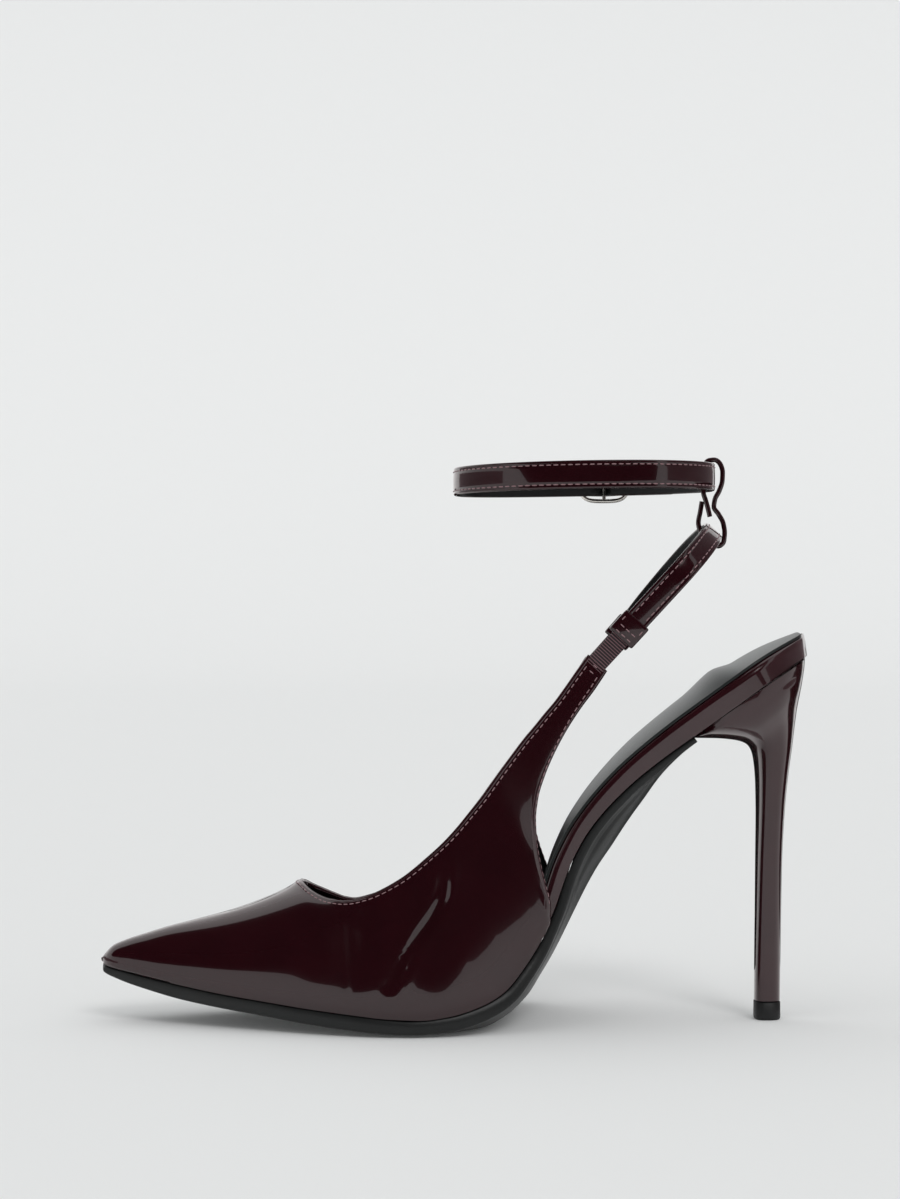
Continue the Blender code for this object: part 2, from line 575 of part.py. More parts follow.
def route_sides(route, up):
    """For each point of a route, the direction square to it and to up, away from the middle."""
    along = np.gradient(route, axis=0)
    along /= np.linalg.norm(along, axis=1, keepdims=True)
    side = np.cross(along, up)
    side /= np.linalg.norm(side, axis=1, keepdims=True)
    return side


def in_sling_plane(along, y):
    """A point of the slanted plane of the sling: so far along its slope, and y."""
    start_x, start_z = SLING_START
    dip = columns(SLING_DIP)
    lower = np.where(y > 0, smooth(along, dip["along"], dip["dip"]), 0.0)
    x = start_x + along * math.cos(SLING_SLOPE) + lower * math.sin(SLING_SLOPE)
    z = start_z + along * math.sin(SLING_SLOPE) - lower * math.cos(SLING_SLOPE)
    return np.stack([x, y, z], axis=-1)


def sling_up():
    return np.array([-math.sin(SLING_SLOPE), 0.0, math.cos(SLING_SLOPE)])


def sling_strap(material):
    """One strap round the back of the heel: two straight sides and half an ellipse, with the
    folded sleeve that holds the elastic at each end."""
    start = GORE_LENGTH
    fold = start + SLEEVE_LENGTH
    sides = [start, start + 0.4, fold - 0.15, fold + 0.15, fold + 5.0, fold + 10.5]
    share = (np.array(sides) - start) / (SLING_TURN_START - start)
    half = SLING_HALF_START + 0.6 + (SLING_HALF - SLING_HALF_START - 0.6) * share
    turn = np.linspace(0, math.pi, 27)
    along = np.concatenate([sides, SLING_TURN_START + SLING_TURN_DEPTH * np.sin(turn), sides[::-1]])
    y = np.concatenate([-half, -SLING_HALF * np.cos(turn), half[::-1]])
    route = in_sling_plane(along, y)
    up = np.tile(sling_up(), (len(route), 1))
    sleeve = along < fold
    gathered = SLING_GATHER * np.clip((along - SLING_TURN_START) / SLING_TURN_DEPTH, 0.0, 1.0) ** 4
    widths = np.where(sleeve, SLEEVE_WIDTH, SLING_WIDTH - gathered)
    thicknesses = np.where(sleeve, SLEEVE_THICKNESS, SLING_THICKNESS)
    return band("sling_strap", route, route_sides(route, up), up, widths, thicknesses, material)


def elastic_gore(name, side, material):
    """The short elastic between the quarter's end and the sling, on one side of the foot."""
    along = np.array([GAP, GORE_LENGTH / 2, GORE_LENGTH - GAP])
    y = side * np.array([SLING_HALF_START - 0.6, SLING_HALF_START - 0.1, SLING_HALF_START + 0.5])
    route = in_sling_plane(along, y)
    up = np.tile(sling_up(), (3, 1))
    out = np.tile([0.0, float(side), 0.0], (3, 1))
    widths, thicknesses = np.full(3, GORE_WIDTH), np.full(3, GORE_THICKNESS)
    return band(name, route, out, up, widths, thicknesses, material)


def ankle_oval(turn, out):
    """A point of the oval at a turn in degrees, moved outwards, at the strap's height there."""
    t = np.radians(turn)
    c, s = np.cos(t), np.sin(t)
    power = 2 / ANKLE_ROUNDNESS
    x = ANKLE_HALF_X * np.sign(c) * np.abs(c) ** power
    y = ANKLE_HALF_Y * np.sign(s) * np.abs(s) ** power
    away = np.stack([x / ANKLE_HALF_X**2, y / ANKLE_HALF_Y**2], axis=-1)
    away /= np.linalg.norm(away, axis=-1, keepdims=True)
    x = ANKLE_CENTRE_X + x + out * away[..., 0]
    y = y + out * away[..., 1]
    along = (x - ANKLE_CENTRE_X) / ANKLE_HALF_X
    z = ANKLE_FRONT_Z + ANKLE_RISE * (along + 1) / 2 + ANKLE_BOW * (1 - along * along)
    return np.stack([x, y, z], axis=-1), away


def ankle_strap(material):
    """One strap: from the buckle round the back of the ankle and its front to the outer side
    again, over the buckle's bar, under its rails and on over the strap's own beginning."""
    table = columns(ANKLE_OFFSET)
    first, last = table["turn"][0], table["turn"][-1]
    near_buckle = BUCKLE_ANGLE - 360.0 + BUCKLE_TURNS
    turn = np.sort(np.concatenate([np.linspace(first, last, ANKLE_STEPS), near_buckle]))[::-1]
    out = smooth(-turn, -table["turn"], table["out"])
    route, _ = ankle_oval(turn, out)
    up = np.tile([0.0, 0.0, 1.0], (len(route), 1))
    left = np.cumsum(np.linalg.norm(np.diff(route, axis=0), axis=1))
    left = left[-1] - np.concatenate([[0.0], left])
    near_end = np.clip(left / TIP_LENGTH, 0.0, 1.0)
    widths = STRAP_WIDTH * (0.3 + 0.7 * np.sqrt(1 - (1 - near_end) ** 2))
    thicknesses = np.full(len(route), STRAP_THICKNESS)
    return band("ankle_strap", route, route_sides(route, up), up, widths, thicknesses, material)


def in_buckle_plane(along, out, z):
    """A point of the buckle: along the strap from its bar, outwards and up."""
    place, away = ankle_oval(np.array(BUCKLE_ANGLE), 0.0)
    forward = np.array([away[1], -away[0]])
    x = place[0] + along * forward[0] + out * away[0]
    y = place[1] + along * forward[1] + out * away[1]
    return np.stack([x, y, z + 0 * x], axis=-1)


def tube(name, route, radius, material, closed=False, around=8):
    """A round bar along a route, each section square to it."""
    route = np.array(route, float)
    if closed:
        along = np.roll(route, -1, axis=0) - np.roll(route, 1, axis=0)
    else:
        along = np.gradient(route, axis=0)
    along /= np.linalg.norm(along, axis=1, keepdims=True)
    away = ankle_oval(np.array(BUCKLE_ANGLE), 0.0)[1]
    first = np.tile([away[0], away[1], 0.0], (len(route), 1))
    first -= np.sum(first * along, axis=1, keepdims=True) * along
    first /= np.linalg.norm(first, axis=1, keepdims=True)
    second = np.cross(along, first)
    turn = np.linspace(0, 2 * math.pi, around, endpoint=False)[None, :, None]
    rings = route[:, None] + radius * (np.cos(turn) * first[:, None] + np.sin(turn) * second[:, None])
    return loft(name, rings, material, closed)


def buckle_frame(material):
    """A wire oval with a bar across its middle, joined into one."""
    turn = np.linspace(0, 2 * math.pi, 28, endpoint=False)
    c, s = np.cos(turn), np.sin(turn)
    along = (BUCKLE_LENGTH / 2 - WIRE_RADIUS) * np.sign(c) * np.abs(c) ** (2 / BUCKLE_ROUNDNESS)
    z = BUCKLE_Z + (BUCKLE_HEIGHT / 2 - WIRE_RADIUS) * np.sign(s) * np.abs(s) ** (2 / BUCKLE_ROUNDNESS)
    frame = tube("buckle_frame", in_buckle_plane(along, BUCKLE_OUT, z), WIRE_RADIUS, material, closed=True)
    reach = BUCKLE_HEIGHT / 2 - WIRE_RADIUS
    z = np.array([BUCKLE_Z - reach, BUCKLE_Z, BUCKLE_Z + reach])
    bar = tube("buckle_bar", in_buckle_plane(np.zeros(3), BUCKLE_OUT, z), WIRE_RADIUS * 0.9, material)
    bar.hide_render = True
    bar.display_type = "WIRE"
    join = frame.modifiers.new("bar", "BOOLEAN")
    join.operation = "UNION"
    join.object = bar
    return frame


def buckle_prong(material):
    """The prong lies from the strap, where it comes through, to the frame's front rail."""
    along, out = through(PRONG_ROUTE, 9).T
    return tube("buckle_prong", in_buckle_plane(along, out, BUCKLE_Z), PRONG_RADIUS, material)


def link_cord(material):
    """A thin covered cord, looped over the ankle strap and under the sling."""
    curve = bpy.data.curves.new("link_cord", "CURVE")
    curve.dimensions = "3D"
    curve.bevel_depth = CORD_DIAMETER / 2 * MM
    curve.bevel_resolution = 2
    curve.use_fill_caps = True
    route = through(CORD_ROUTE, CORD_POINTS) * MM
    spline = curve.splines.new("POLY")
    spline.points.add(len(route) - 1)
    spline.points.foreach_set("co", np.hstack([route, np.ones((len(route), 1))]).ravel())
    curve.materials.append(material)
    piece = bpy.data.objects.new("link_cord", curve)
    bpy.context.collection.objects.link(piece)
    return piece


def main():
    for old in list(bpy.data.objects):
        bpy.data.objects.remove(old)
    outsole(new_material("sole_resin", (0.028, 0.030, 0.030), 0.5))
    insole_board(new_material("covered_insole", (0.045, 0.012, 0.018), 0.15))
    insole_sock(new_material("sock_lining", (0.09, 0.095, 0.095), 0.45))
    upper(new_material("patent_upper", (0.030, 0.006, 0.010), 0.08))
    elastic_gore("gore_medial", -1, new_material("elastic_medial", (0.030, 0.008, 0.011), 0.7))
    elastic_gore("gore_lateral", 1, new_material("elastic_lateral", (0.030, 0.008, 0.011), 0.7))
    sling_strap(new_material("patent_sling", (0.030, 0.006, 0.010), 0.1))
    ankle_strap(new_material("patent_ankle", (0.030, 0.006, 0.010), 0.1))
    buckle_frame(new_material("buckle_metal", (0.72, 0.70, 0.68), 0.2, 1.0))
    buckle_prong(new_material("prong_metal", (0.72, 0.70, 0.68), 0.2, 1.0))
    link_cord(new_material("patent_cord", (0.030, 0.006, 0.010), 0.15))
    heel(new_material("covered_heel", (0.060, 0.022, 0.028), 0.15))
    top_piece(new_material("heel_tip_rubber", (0.015, 0.015, 0.015), 0.6))


main()
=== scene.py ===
# %% [markdown]
# # An ankle strap pump in patent leather
# A pump is a low shoe that leaves the instep bare. This one has a pointed toe, two quarters that
# end in short elastics, a sling round the back of the heel, and a strap round the ankle that a thin
# cord ties to the sling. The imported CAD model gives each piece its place, and this script makes
# what the eye sees: the skin of the leather, folds, linings, stitches, metal and light.

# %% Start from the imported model
import math

import bmesh
import bpy
import numpy as np
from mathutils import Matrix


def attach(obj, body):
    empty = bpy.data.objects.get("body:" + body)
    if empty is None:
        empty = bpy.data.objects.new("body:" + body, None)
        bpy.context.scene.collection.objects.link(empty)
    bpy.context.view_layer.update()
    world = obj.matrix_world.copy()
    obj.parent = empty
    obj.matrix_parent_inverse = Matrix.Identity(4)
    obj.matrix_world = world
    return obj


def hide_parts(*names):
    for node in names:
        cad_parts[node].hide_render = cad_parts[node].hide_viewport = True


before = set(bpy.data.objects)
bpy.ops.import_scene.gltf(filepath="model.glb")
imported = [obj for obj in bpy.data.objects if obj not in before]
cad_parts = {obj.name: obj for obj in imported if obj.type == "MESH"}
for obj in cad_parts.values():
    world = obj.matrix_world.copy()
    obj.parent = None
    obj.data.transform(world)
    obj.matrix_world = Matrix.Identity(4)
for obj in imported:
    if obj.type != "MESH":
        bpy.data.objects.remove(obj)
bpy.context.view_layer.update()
MM = 0.001

# %% [markdown]
# ## The camera
# A product photograph of a shoe is taken from far away and almost level, so that the heel stands
# upright. The lens and the place below come from the shoe's own sizes and their perspective: the
# near and the far side of the ankle strap show how far away the camera stands.

# %% Camera
CAMERA_DISTANCE = 800 * MM
CAMERA_X = -1.35 * MM
CAMERA_HEIGHT = 125.6 * MM
LENS = 80.1

lens = bpy.data.cameras.new("camera")
lens.lens = LENS
lens.sensor_width = 36.0
lens.clip_start = 10 * MM
lens.clip_end = 30.0
camera = bpy.data.objects.new("camera", lens)
camera.location = (CAMERA_X, -CAMERA_DISTANCE, CAMERA_HEIGHT)
camera.rotation_euler = (math.radians(90), 0.0, 0.0)
bpy.context.scene.collection.objects.link(camera)
bpy.context.scene.camera = camera
print("camera", LENS, "mm at", CAMERA_DISTANCE, "m")

# %% [markdown]
# ## Curves through named sizes
# A shoemaker works from a last and a few measured sections. Here too a short table holds the
# sections, and a smooth curve through its columns gives everything between them. The curve must
# not overshoot, or the leather would ripple, so its slopes are harmonic means.

# %% Tables to curves
def columns(table):
    """The table's columns by name, as arrays."""
    rows = np.array(table[1:], float)
    return {name: rows[:, i] for i, name in enumerate(table[0])}


def smooth(at, known, values):
    """A curve through the known values that never overshoots them: cubics whose slope at each
    value is the weighted harmonic mean of the slopes beside it, or level at a high or low one."""
    at = np.asarray(at, float)
    steps = np.diff(known)
    rise = np.diff(values) / steps
    before, after = rise[:-1], rise[1:]
    weigh_before = 2 * steps[1:] + steps[:-1]
    weigh_after = steps[1:] + 2 * steps[:-1]
    same_way = before * after > 0
    safe_before = np.where(same_way, before, 1.0)
    safe_after = np.where(same_way, after, 1.0)
    mean = (weigh_before + weigh_after) / (weigh_before / safe_before + weigh_after / safe_after)
    slope = np.concatenate([rise[:1], np.where(same_way, mean, 0.0), rise[-1:]])
    i = np.clip(np.searchsorted(known, at, side="right") - 1, 0, len(steps) - 1)
    t = (at - known[i]) / steps[i]
    from_start = (1 + 2 * t) * (1 - t) ** 2 * values[i] + t * (1 - t) ** 2 * steps[i] * slope[i]
    to_end = t * t * (3 - 2 * t) * values[i + 1] + t * t * (t - 1) * steps[i] * slope[i + 1]
    return from_start + to_end


def through(points, count):
    """count points evenly along a smooth curve through a list of points."""
    points = np.array(points, float)
    known = np.concatenate([[0.0], np.cumsum(np.linalg.norm(np.diff(points, axis=0), axis=1))])
    at = np.linspace(0.0, known[-1], count)
    return np.stack([smooth(at, known, points[:, k]) for k in range(points.shape[1])], axis=1)


def finer(rows, between):
    """More rows between the given ones, along a smooth curve through them."""
    known = np.arange(len(rows), dtype=float)
    at = np.linspace(0, len(rows) - 1, (len(rows) - 1) * between + 1)
    if rows.ndim == 1:
        return smooth(at, known, rows)
    return np.stack([smooth(at, known, rows[:, k]) for k in range(rows.shape[1])], axis=1)


def step(values, low, high):
    """0 below low, 1 above high, and an S-shaped curve between: 3t^2 - 2t^3."""
    t = np.clip((np.asarray(values, float) - low) / (high - low), 0.0, 1.0)
    return t * t * (3 - 2 * t)


# %% [markdown]
# ## From arrays to pieces
# Every surface is a grid of points, so its faces are the quads between neighbours. Each piece is
# closed, and Blender then turns its faces outwards. The object stays at the origin, with its place
# in its mesh, so that patterns measured in the object's own coordinates are in real millimetres.

# %% Grids, caps and pieces
def quads(number):
    """The quads between neighbours of a grid of point numbers."""
    corners = [number[:-1, :-1], number[1:, :-1], number[1:, 1:], number[:-1, 1:]]
    return np.stack(corners, axis=-1).reshape(-1, 4)


def wrapped(number):
    """The same grid with its first column again at the end, for a surface that closes on itself."""
    return np.concatenate([number, number[:, :1]], axis=1)


def make_piece(name, points, faces, materials, slots=None, uv=None, shade=50):
    """A piece from points in mm and lists of faces, closed, smooth and turned outwards."""
    mesh = bpy.data.meshes.new(name)
    mesh.from_pydata(points * MM, [], [f for group in faces for f in np.asarray(group).tolist()])
    if slots is not None:
        mesh.polygons.foreach_set("material_index", np.asarray(slots, np.int32))
    if uv is not None:
        corner = np.empty(len(mesh.loops), np.int32)
        mesh.loops.foreach_get("vertex_index", corner)
        chart = mesh.uv_layers.new(name="UVMap")
        chart.data.foreach_set("uv", uv[corner].astype(np.float32).ravel())
    work = bmesh.new()
    work.from_mesh(mesh)
    bmesh.ops.recalc_face_normals(work, faces=work.faces)
    open_edges = sum(edge.is_boundary for edge in work.edges)
    work.to_mesh(mesh)
    work.free()
    mesh.shade_smooth()
    mesh.set_sharp_from_angle(angle=math.radians(shade))
    for material in materials:
        mesh.materials.append(material)
    piece = bpy.data.objects.new(name, mesh)
    bpy.context.scene.collection.objects.link(piece)
    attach(piece, "root")
    print(f"{name}: {len(mesh.polygons)} faces, {open_edges} open edges")
    return piece


def ring_piece(name, rings, materials, closed=False, uv=None, shade=50):
    """A solid through closed sections of equal count, with caps unless it is a ring."""
    count, around = rings.shape[:2]
    number = wrapped(np.arange(count * around).reshape(count, around))
    if closed:
        number = np.concatenate([number, number[:1]])
    faces = [quads(number)]
    if not closed:
        faces += [[number[0, :-1]], [number[-1, :-1]]]
    return make_piece(name, rings.reshape(-1, 3), faces, materials, uv=uv, shade=shade)


def unit(vectors):
    """The same directions with length 1."""
    return vectors / np.maximum(np.linalg.norm(vectors, axis=-1, keepdims=True), 1e-9)


def sweep(path, normal, side, profile):
    """Sections carried along a path: profile gives for each point how far it lies along normal and
    along side, as one profile or as one for each place."""
    profile = np.asarray(profile, float)
    if profile.ndim == 2:
        profile = profile[None]
    return path[:, None] + profile[..., :1] * normal[:, None] + profile[..., 1:] * side[:, None]


def rounded_box(width, thickness, radius, per_corner=5):
    """A rectangle with round corners, as (thickness, width) pairs: four quarter circles."""
    turn = np.linspace(0, math.pi / 2, per_corner)
    arc = np.stack([np.cos(turn), np.sin(turn)], axis=1) * radius
    w, t = width / 2 - radius, thickness / 2 - radius
    corners = [
        arc + [t, w],
        arc[:, ::-1] * [-1, 1] + [-t, w],
        -arc + [-t, -w],
        arc[:, ::-1] * [1, -1] + [t, -w],
    ]
    return np.concatenate(corners)


# %% [markdown]
# ## Colours and nodes
# Colours are written as a screen shows them, in sRGB hex, and one function turns them into the
# linear light that the shader works with. One more function adds a shader node.

# %% Colour and node helpers
def linear(code):
    """An sRGB hex colour as linear red, green, blue and alpha."""
    values = np.array([int(code[i : i + 2], 16) / 255 for i in (1, 3, 5)])
    low = values / 12.92
    high = ((values + 0.055) / 1.055) ** 2.4
    return (*np.where(values <= 0.04045, low, high).tolist(), 1.0)


def add(tree, kind, inputs=None, **settings):
    """Adds one node, with its settings, and sets or links its inputs."""
    node = tree.nodes.new(kind)
    for key, value in settings.items():
        setattr(node, key, value)
    for key, value in (inputs or {}).items():
        if isinstance(value, bpy.types.NodeSocket):
            tree.links.new(value, node.inputs[key])
        else:
            node.inputs[key].default_value = value
    return node


def start_material(name, **sockets):
    """A new material with its Principled shader's sockets set, named with _ for a space."""
    material = bpy.data.materials.new(name)
    material.use_nodes = True
    tree = material.node_tree
    shader = tree.nodes["Principled BSDF"]
    for key, value in sockets.items():
        shader.inputs[key.replace("_", " ")].default_value = value
    return material, tree, shader


def object_place(tree):
    """The point on the object, in metres, as the socket that the patterns read."""
    return add(tree, "ShaderNodeTexCoord").outputs["Object"]


# %% [markdown]
# ## Patent leather
# Patent leather is split leather or cotton under a thick film of clear lacquer, cast and cured
# until it is as smooth as glass. The eye gets two reflections: a sharp one from the lacquer and a
# blurred one from the coloured layer below, and almost no grain. The film shrinks a little as it
# cures and leaves a faint orange peel, here 4.5 mm from crest to crest and only just high enough to
# bend a reflection.

# %% Patent leather
CLOUD_MM = 14.0  # slow change of tone in the dyed layer
PEEL_MM = 4.5
PEEL_DEPTH_MM = 0.06
PEEL_STRENGTH = 0.05
PORE_MM = 0.5
PORE_DEPTH_MM = 0.02


def patent(name, light, dark, roughness=0.16, specular=0.25):
    """Two close tones under a clear coat: the pores bend the layer below, the peel bends both."""
    material, tree, shader = start_material(
        name,
        Roughness=roughness,
        Specular_IOR_Level=specular,
        Coat_Weight=1.0,
        Coat_Roughness=0.035,
        Coat_IOR=1.5,
        Coat_Tint=linear("#fff4f4"),
    )
    place = object_place(tree)
    cloud = add(
        tree,
        "ShaderNodeTexNoise",
        {"Vector": place, "Scale": 1 / (CLOUD_MM * MM), "Detail": 3.0},
    )
    tone = add(
        tree,
        "ShaderNodeMix",
        {"Factor": cloud.outputs["Fac"], "A": linear(dark), "B": linear(light)},
        data_type="RGBA",
    )
    tree.links.new(tone.outputs["Result"], shader.inputs["Base Color"])
    wave, pore = [
        add(
            tree,
            "ShaderNodeTexNoise",
            {"Vector": place, "Scale": 1 / (size * MM), "Detail": detail},
        )
        for size, detail in ((PEEL_MM, 1.0), (PORE_MM, 2.0))
    ]
    skin = add(
        tree,
        "ShaderNodeBump",
        {"Height": pore.outputs["Fac"], "Strength": 0.25, "Distance": PORE_DEPTH_MM * MM},
    )
    peel = {
        "Height": wave.outputs["Fac"],
        "Strength": PEEL_STRENGTH,
        "Distance": PEEL_DEPTH_MM * MM,
    }
    film = add(tree, "ShaderNodeBump", peel)
    under = add(tree, "ShaderNodeBump", {**peel, "Normal": skin.outputs["Normal"]})
    tree.links.new(under.outputs["Normal"], shader.inputs["Normal"])
    tree.links.new(film.outputs["Normal"], shader.inputs["Coat Normal"])
    return material


patent_oxblood = patent("patent_oxblood", "#27090f", "#1d060b")
patent_cover = patent("patent_cover", "#2d0c13", "#230a0f", roughness=0.2, specular=0.35)
# The folded edge: the same skin, painted lighter and greyer as a painted highlight along the fold.
patent_painted_highlight = patent("patent_painted_highlight", "#2e1218", "#260d13", roughness=0.22, specular=0.5)
print("patent leather in three tones")

# %% [markdown]
# ## Lining, sock, sole and tip
# The lining and the sock are smooth pigmented leather: a sheen with fine grain, cells of about half
# a millimetre. The sole is moulded resin rubber, satin and almost black, and the tip under the heel
# is hard polyurethane, a little rougher where it was cut.

# %% Grained materials
def grained(name, light, dark, cell_mm, roughness, depth_mm, specular=0.5, strength=0.6):
    """A pigmented, moulded or cut surface: two close tones, and cells of the given real size."""
    material, tree, shader = start_material(name, Roughness=roughness, Specular_IOR_Level=specular)
    place = object_place(tree)
    cloud = add(tree, "ShaderNodeTexNoise", {"Vector": place, "Scale": 1 / (9 * MM), "Detail": 5.0})
    tone = add(
        tree,
        "ShaderNodeMix",
        {"Factor": cloud.outputs["Fac"], "A": linear(dark), "B": linear(light)},
        data_type="RGBA",
    )
    tree.links.new(tone.outputs["Result"], shader.inputs["Base Color"])
    cells = add(
        tree,
        "ShaderNodeTexVoronoi",
        {"Vector": place, "Scale": 1 / (cell_mm * MM)},
        feature="SMOOTH_F1",
    )
    fine = add(
        tree,
        "ShaderNodeTexNoise",
        {"Vector": place, "Scale": 2 / (cell_mm * MM), "Detail": 3.0},
    )
    height = add(
        tree,
        "ShaderNodeMath",
        {0: cells.outputs["Distance"], 1: fine.outputs["Fac"]},
        operation="ADD",
    )
    bump = add(
        tree,
        "ShaderNodeBump",
        {"Height": height.outputs["Value"], "Strength": strength, "Distance": depth_mm * MM},
    )
    tree.links.new(bump.outputs["Normal"], shader.inputs["Normal"])
    return material


black_lining = grained("black_lining_leather", "#100f10", "#0a090a", 0.6, 0.42, 0.05, 0.3)
sock_leather = grained("sock_leather", "#262929", "#1b1e1e", 0.55, 0.3, 0.04, 0.3)
sole_resin = grained("sole_resin_rubber", "#1d1e1e", "#161717", 0.8, 0.38, 0.04, 0.35)
tip_rubber = grained("tip_polyurethane", "#121213", "#0b0b0c", 0.4, 0.5, 0.04)
print("lining, sock, sole and tip")

# %% [markdown]
# ## Thread, elastic and nickel
# The thread is bonded polyester and glossy. Its colour, a good deal lighter than the leather, is
# partly the thread's own reddish tone and partly a painted highlight for its gloss. The elastic is
# woven: its ribs are made as shape, and its colour is lighter on their crests and darker between
# them. The buckle is polished nickel over zinc: a metal, slightly warm, with hairline scratches too
# fine to see one by one.

# %% Thread, elastic and metal
def threads(name, code, pitch_mm, roughness):
    """Fibres: a wave of the given pitch as bump, and a soft sheen at grazing angles."""
    material, tree, shader = start_material(
        name, Roughness=roughness, Base_Color=linear(code), Sheen_Weight=0.2, Sheen_Roughness=0.4
    )
    place = object_place(tree)
    twist = add(
        tree,
        "ShaderNodeTexWave",
        {"Vector": place, "Scale": 1 / (pitch_mm * MM) / 6.3, "Distortion": 1.5, "Detail": 1.0},
        bands_direction="DIAGONAL",
    )
    bump = add(
        tree,
        "ShaderNodeBump",
        {"Height": twist.outputs["Fac"], "Strength": 0.5, "Distance": 0.06 * MM},
    )
    tree.links.new(bump.outputs["Normal"], shader.inputs["Normal"])
    return material


def ribbed(name, bare, thread, roughness):
    """Woven elastic: the UV map's u counts ribs, so a cosine of it makes the colour lighter on the
    crests and darker between them."""
    material, tree, shader = start_material(name, Roughness=roughness, Sheen_Weight=0.1)
    chart = add(tree, "ShaderNodeUVMap")
    count = add(tree, "ShaderNodeSeparateXYZ", {"Vector": chart.outputs["UV"]})
    whole = {0: count.outputs["X"], 1: 2 * math.pi}
    turn = add(tree, "ShaderNodeMath", whole, operation="MULTIPLY")
    crest = add(tree, "ShaderNodeMath", {0: turn.outputs["Value"]}, operation="COSINE")
    share = add(
        tree,
        "ShaderNodeMapRange",
        {"Value": crest.outputs["Value"], "From Min": 0.1, "From Max": 0.95},
    )
    # Lighter on the ribs' crests, darker between them.
    tone = add(
        tree,
        "ShaderNodeMix",
        {"Factor": share.outputs["Result"], "A": linear(bare), "B": linear(thread)},
        data_type="RGBA",
    )
    tree.links.new(tone.outputs["Result"], shader.inputs["Base Color"])
    return material


def polished_metal(name, code, roughness):
    """Polished plating: fine random scratches blur the reflection a little."""
    material, tree, shader = start_material(name, Base_Color=linear(code), Metallic=1.0)
    place = object_place(tree)
    rub = add(tree, "ShaderNodeTexNoise", {"Vector": place, "Scale": 1 / (1.5 * MM), "Detail": 6.0})
    gloss = add(
        tree,
        "ShaderNodeMapRange",
        {"Value": rub.outputs["Fac"], "To Min": roughness * 0.7, "To Max": roughness * 1.4},
    )
    bump = add(
        tree,
        "ShaderNodeBump",
        {"Height": rub.outputs["Fac"], "Strength": 0.08, "Distance": 0.02 * MM},
    )
    tree.links.new(gloss.outputs["Result"], shader.inputs["Roughness"])
    tree.links.new(bump.outputs["Normal"], shader.inputs["Normal"])
    return material


# The thread's colour: partly its own reddish tone, partly painted lighter as a painted highlight.
bonded_thread = threads("bonded_polyester_thread", "#8a6a6e", 0.35, 0.4)
woven_elastic = ribbed("woven_elastic", "#1d0d11", "#6c4a50", 0.6)
nickel = polished_metal("polished_nickel", "#e2ddd7", 0.16)
print("thread, elastic and nickel")

# %% [markdown]
# ## The sole's line
# Everything in a pump is built up on the last's bottom line: flat under the ball, a steep waist,
# and the seat on the heel. The table gives that line and the widths on both sides of it, and the
# sole, the insole, the sock and the upper all read it.

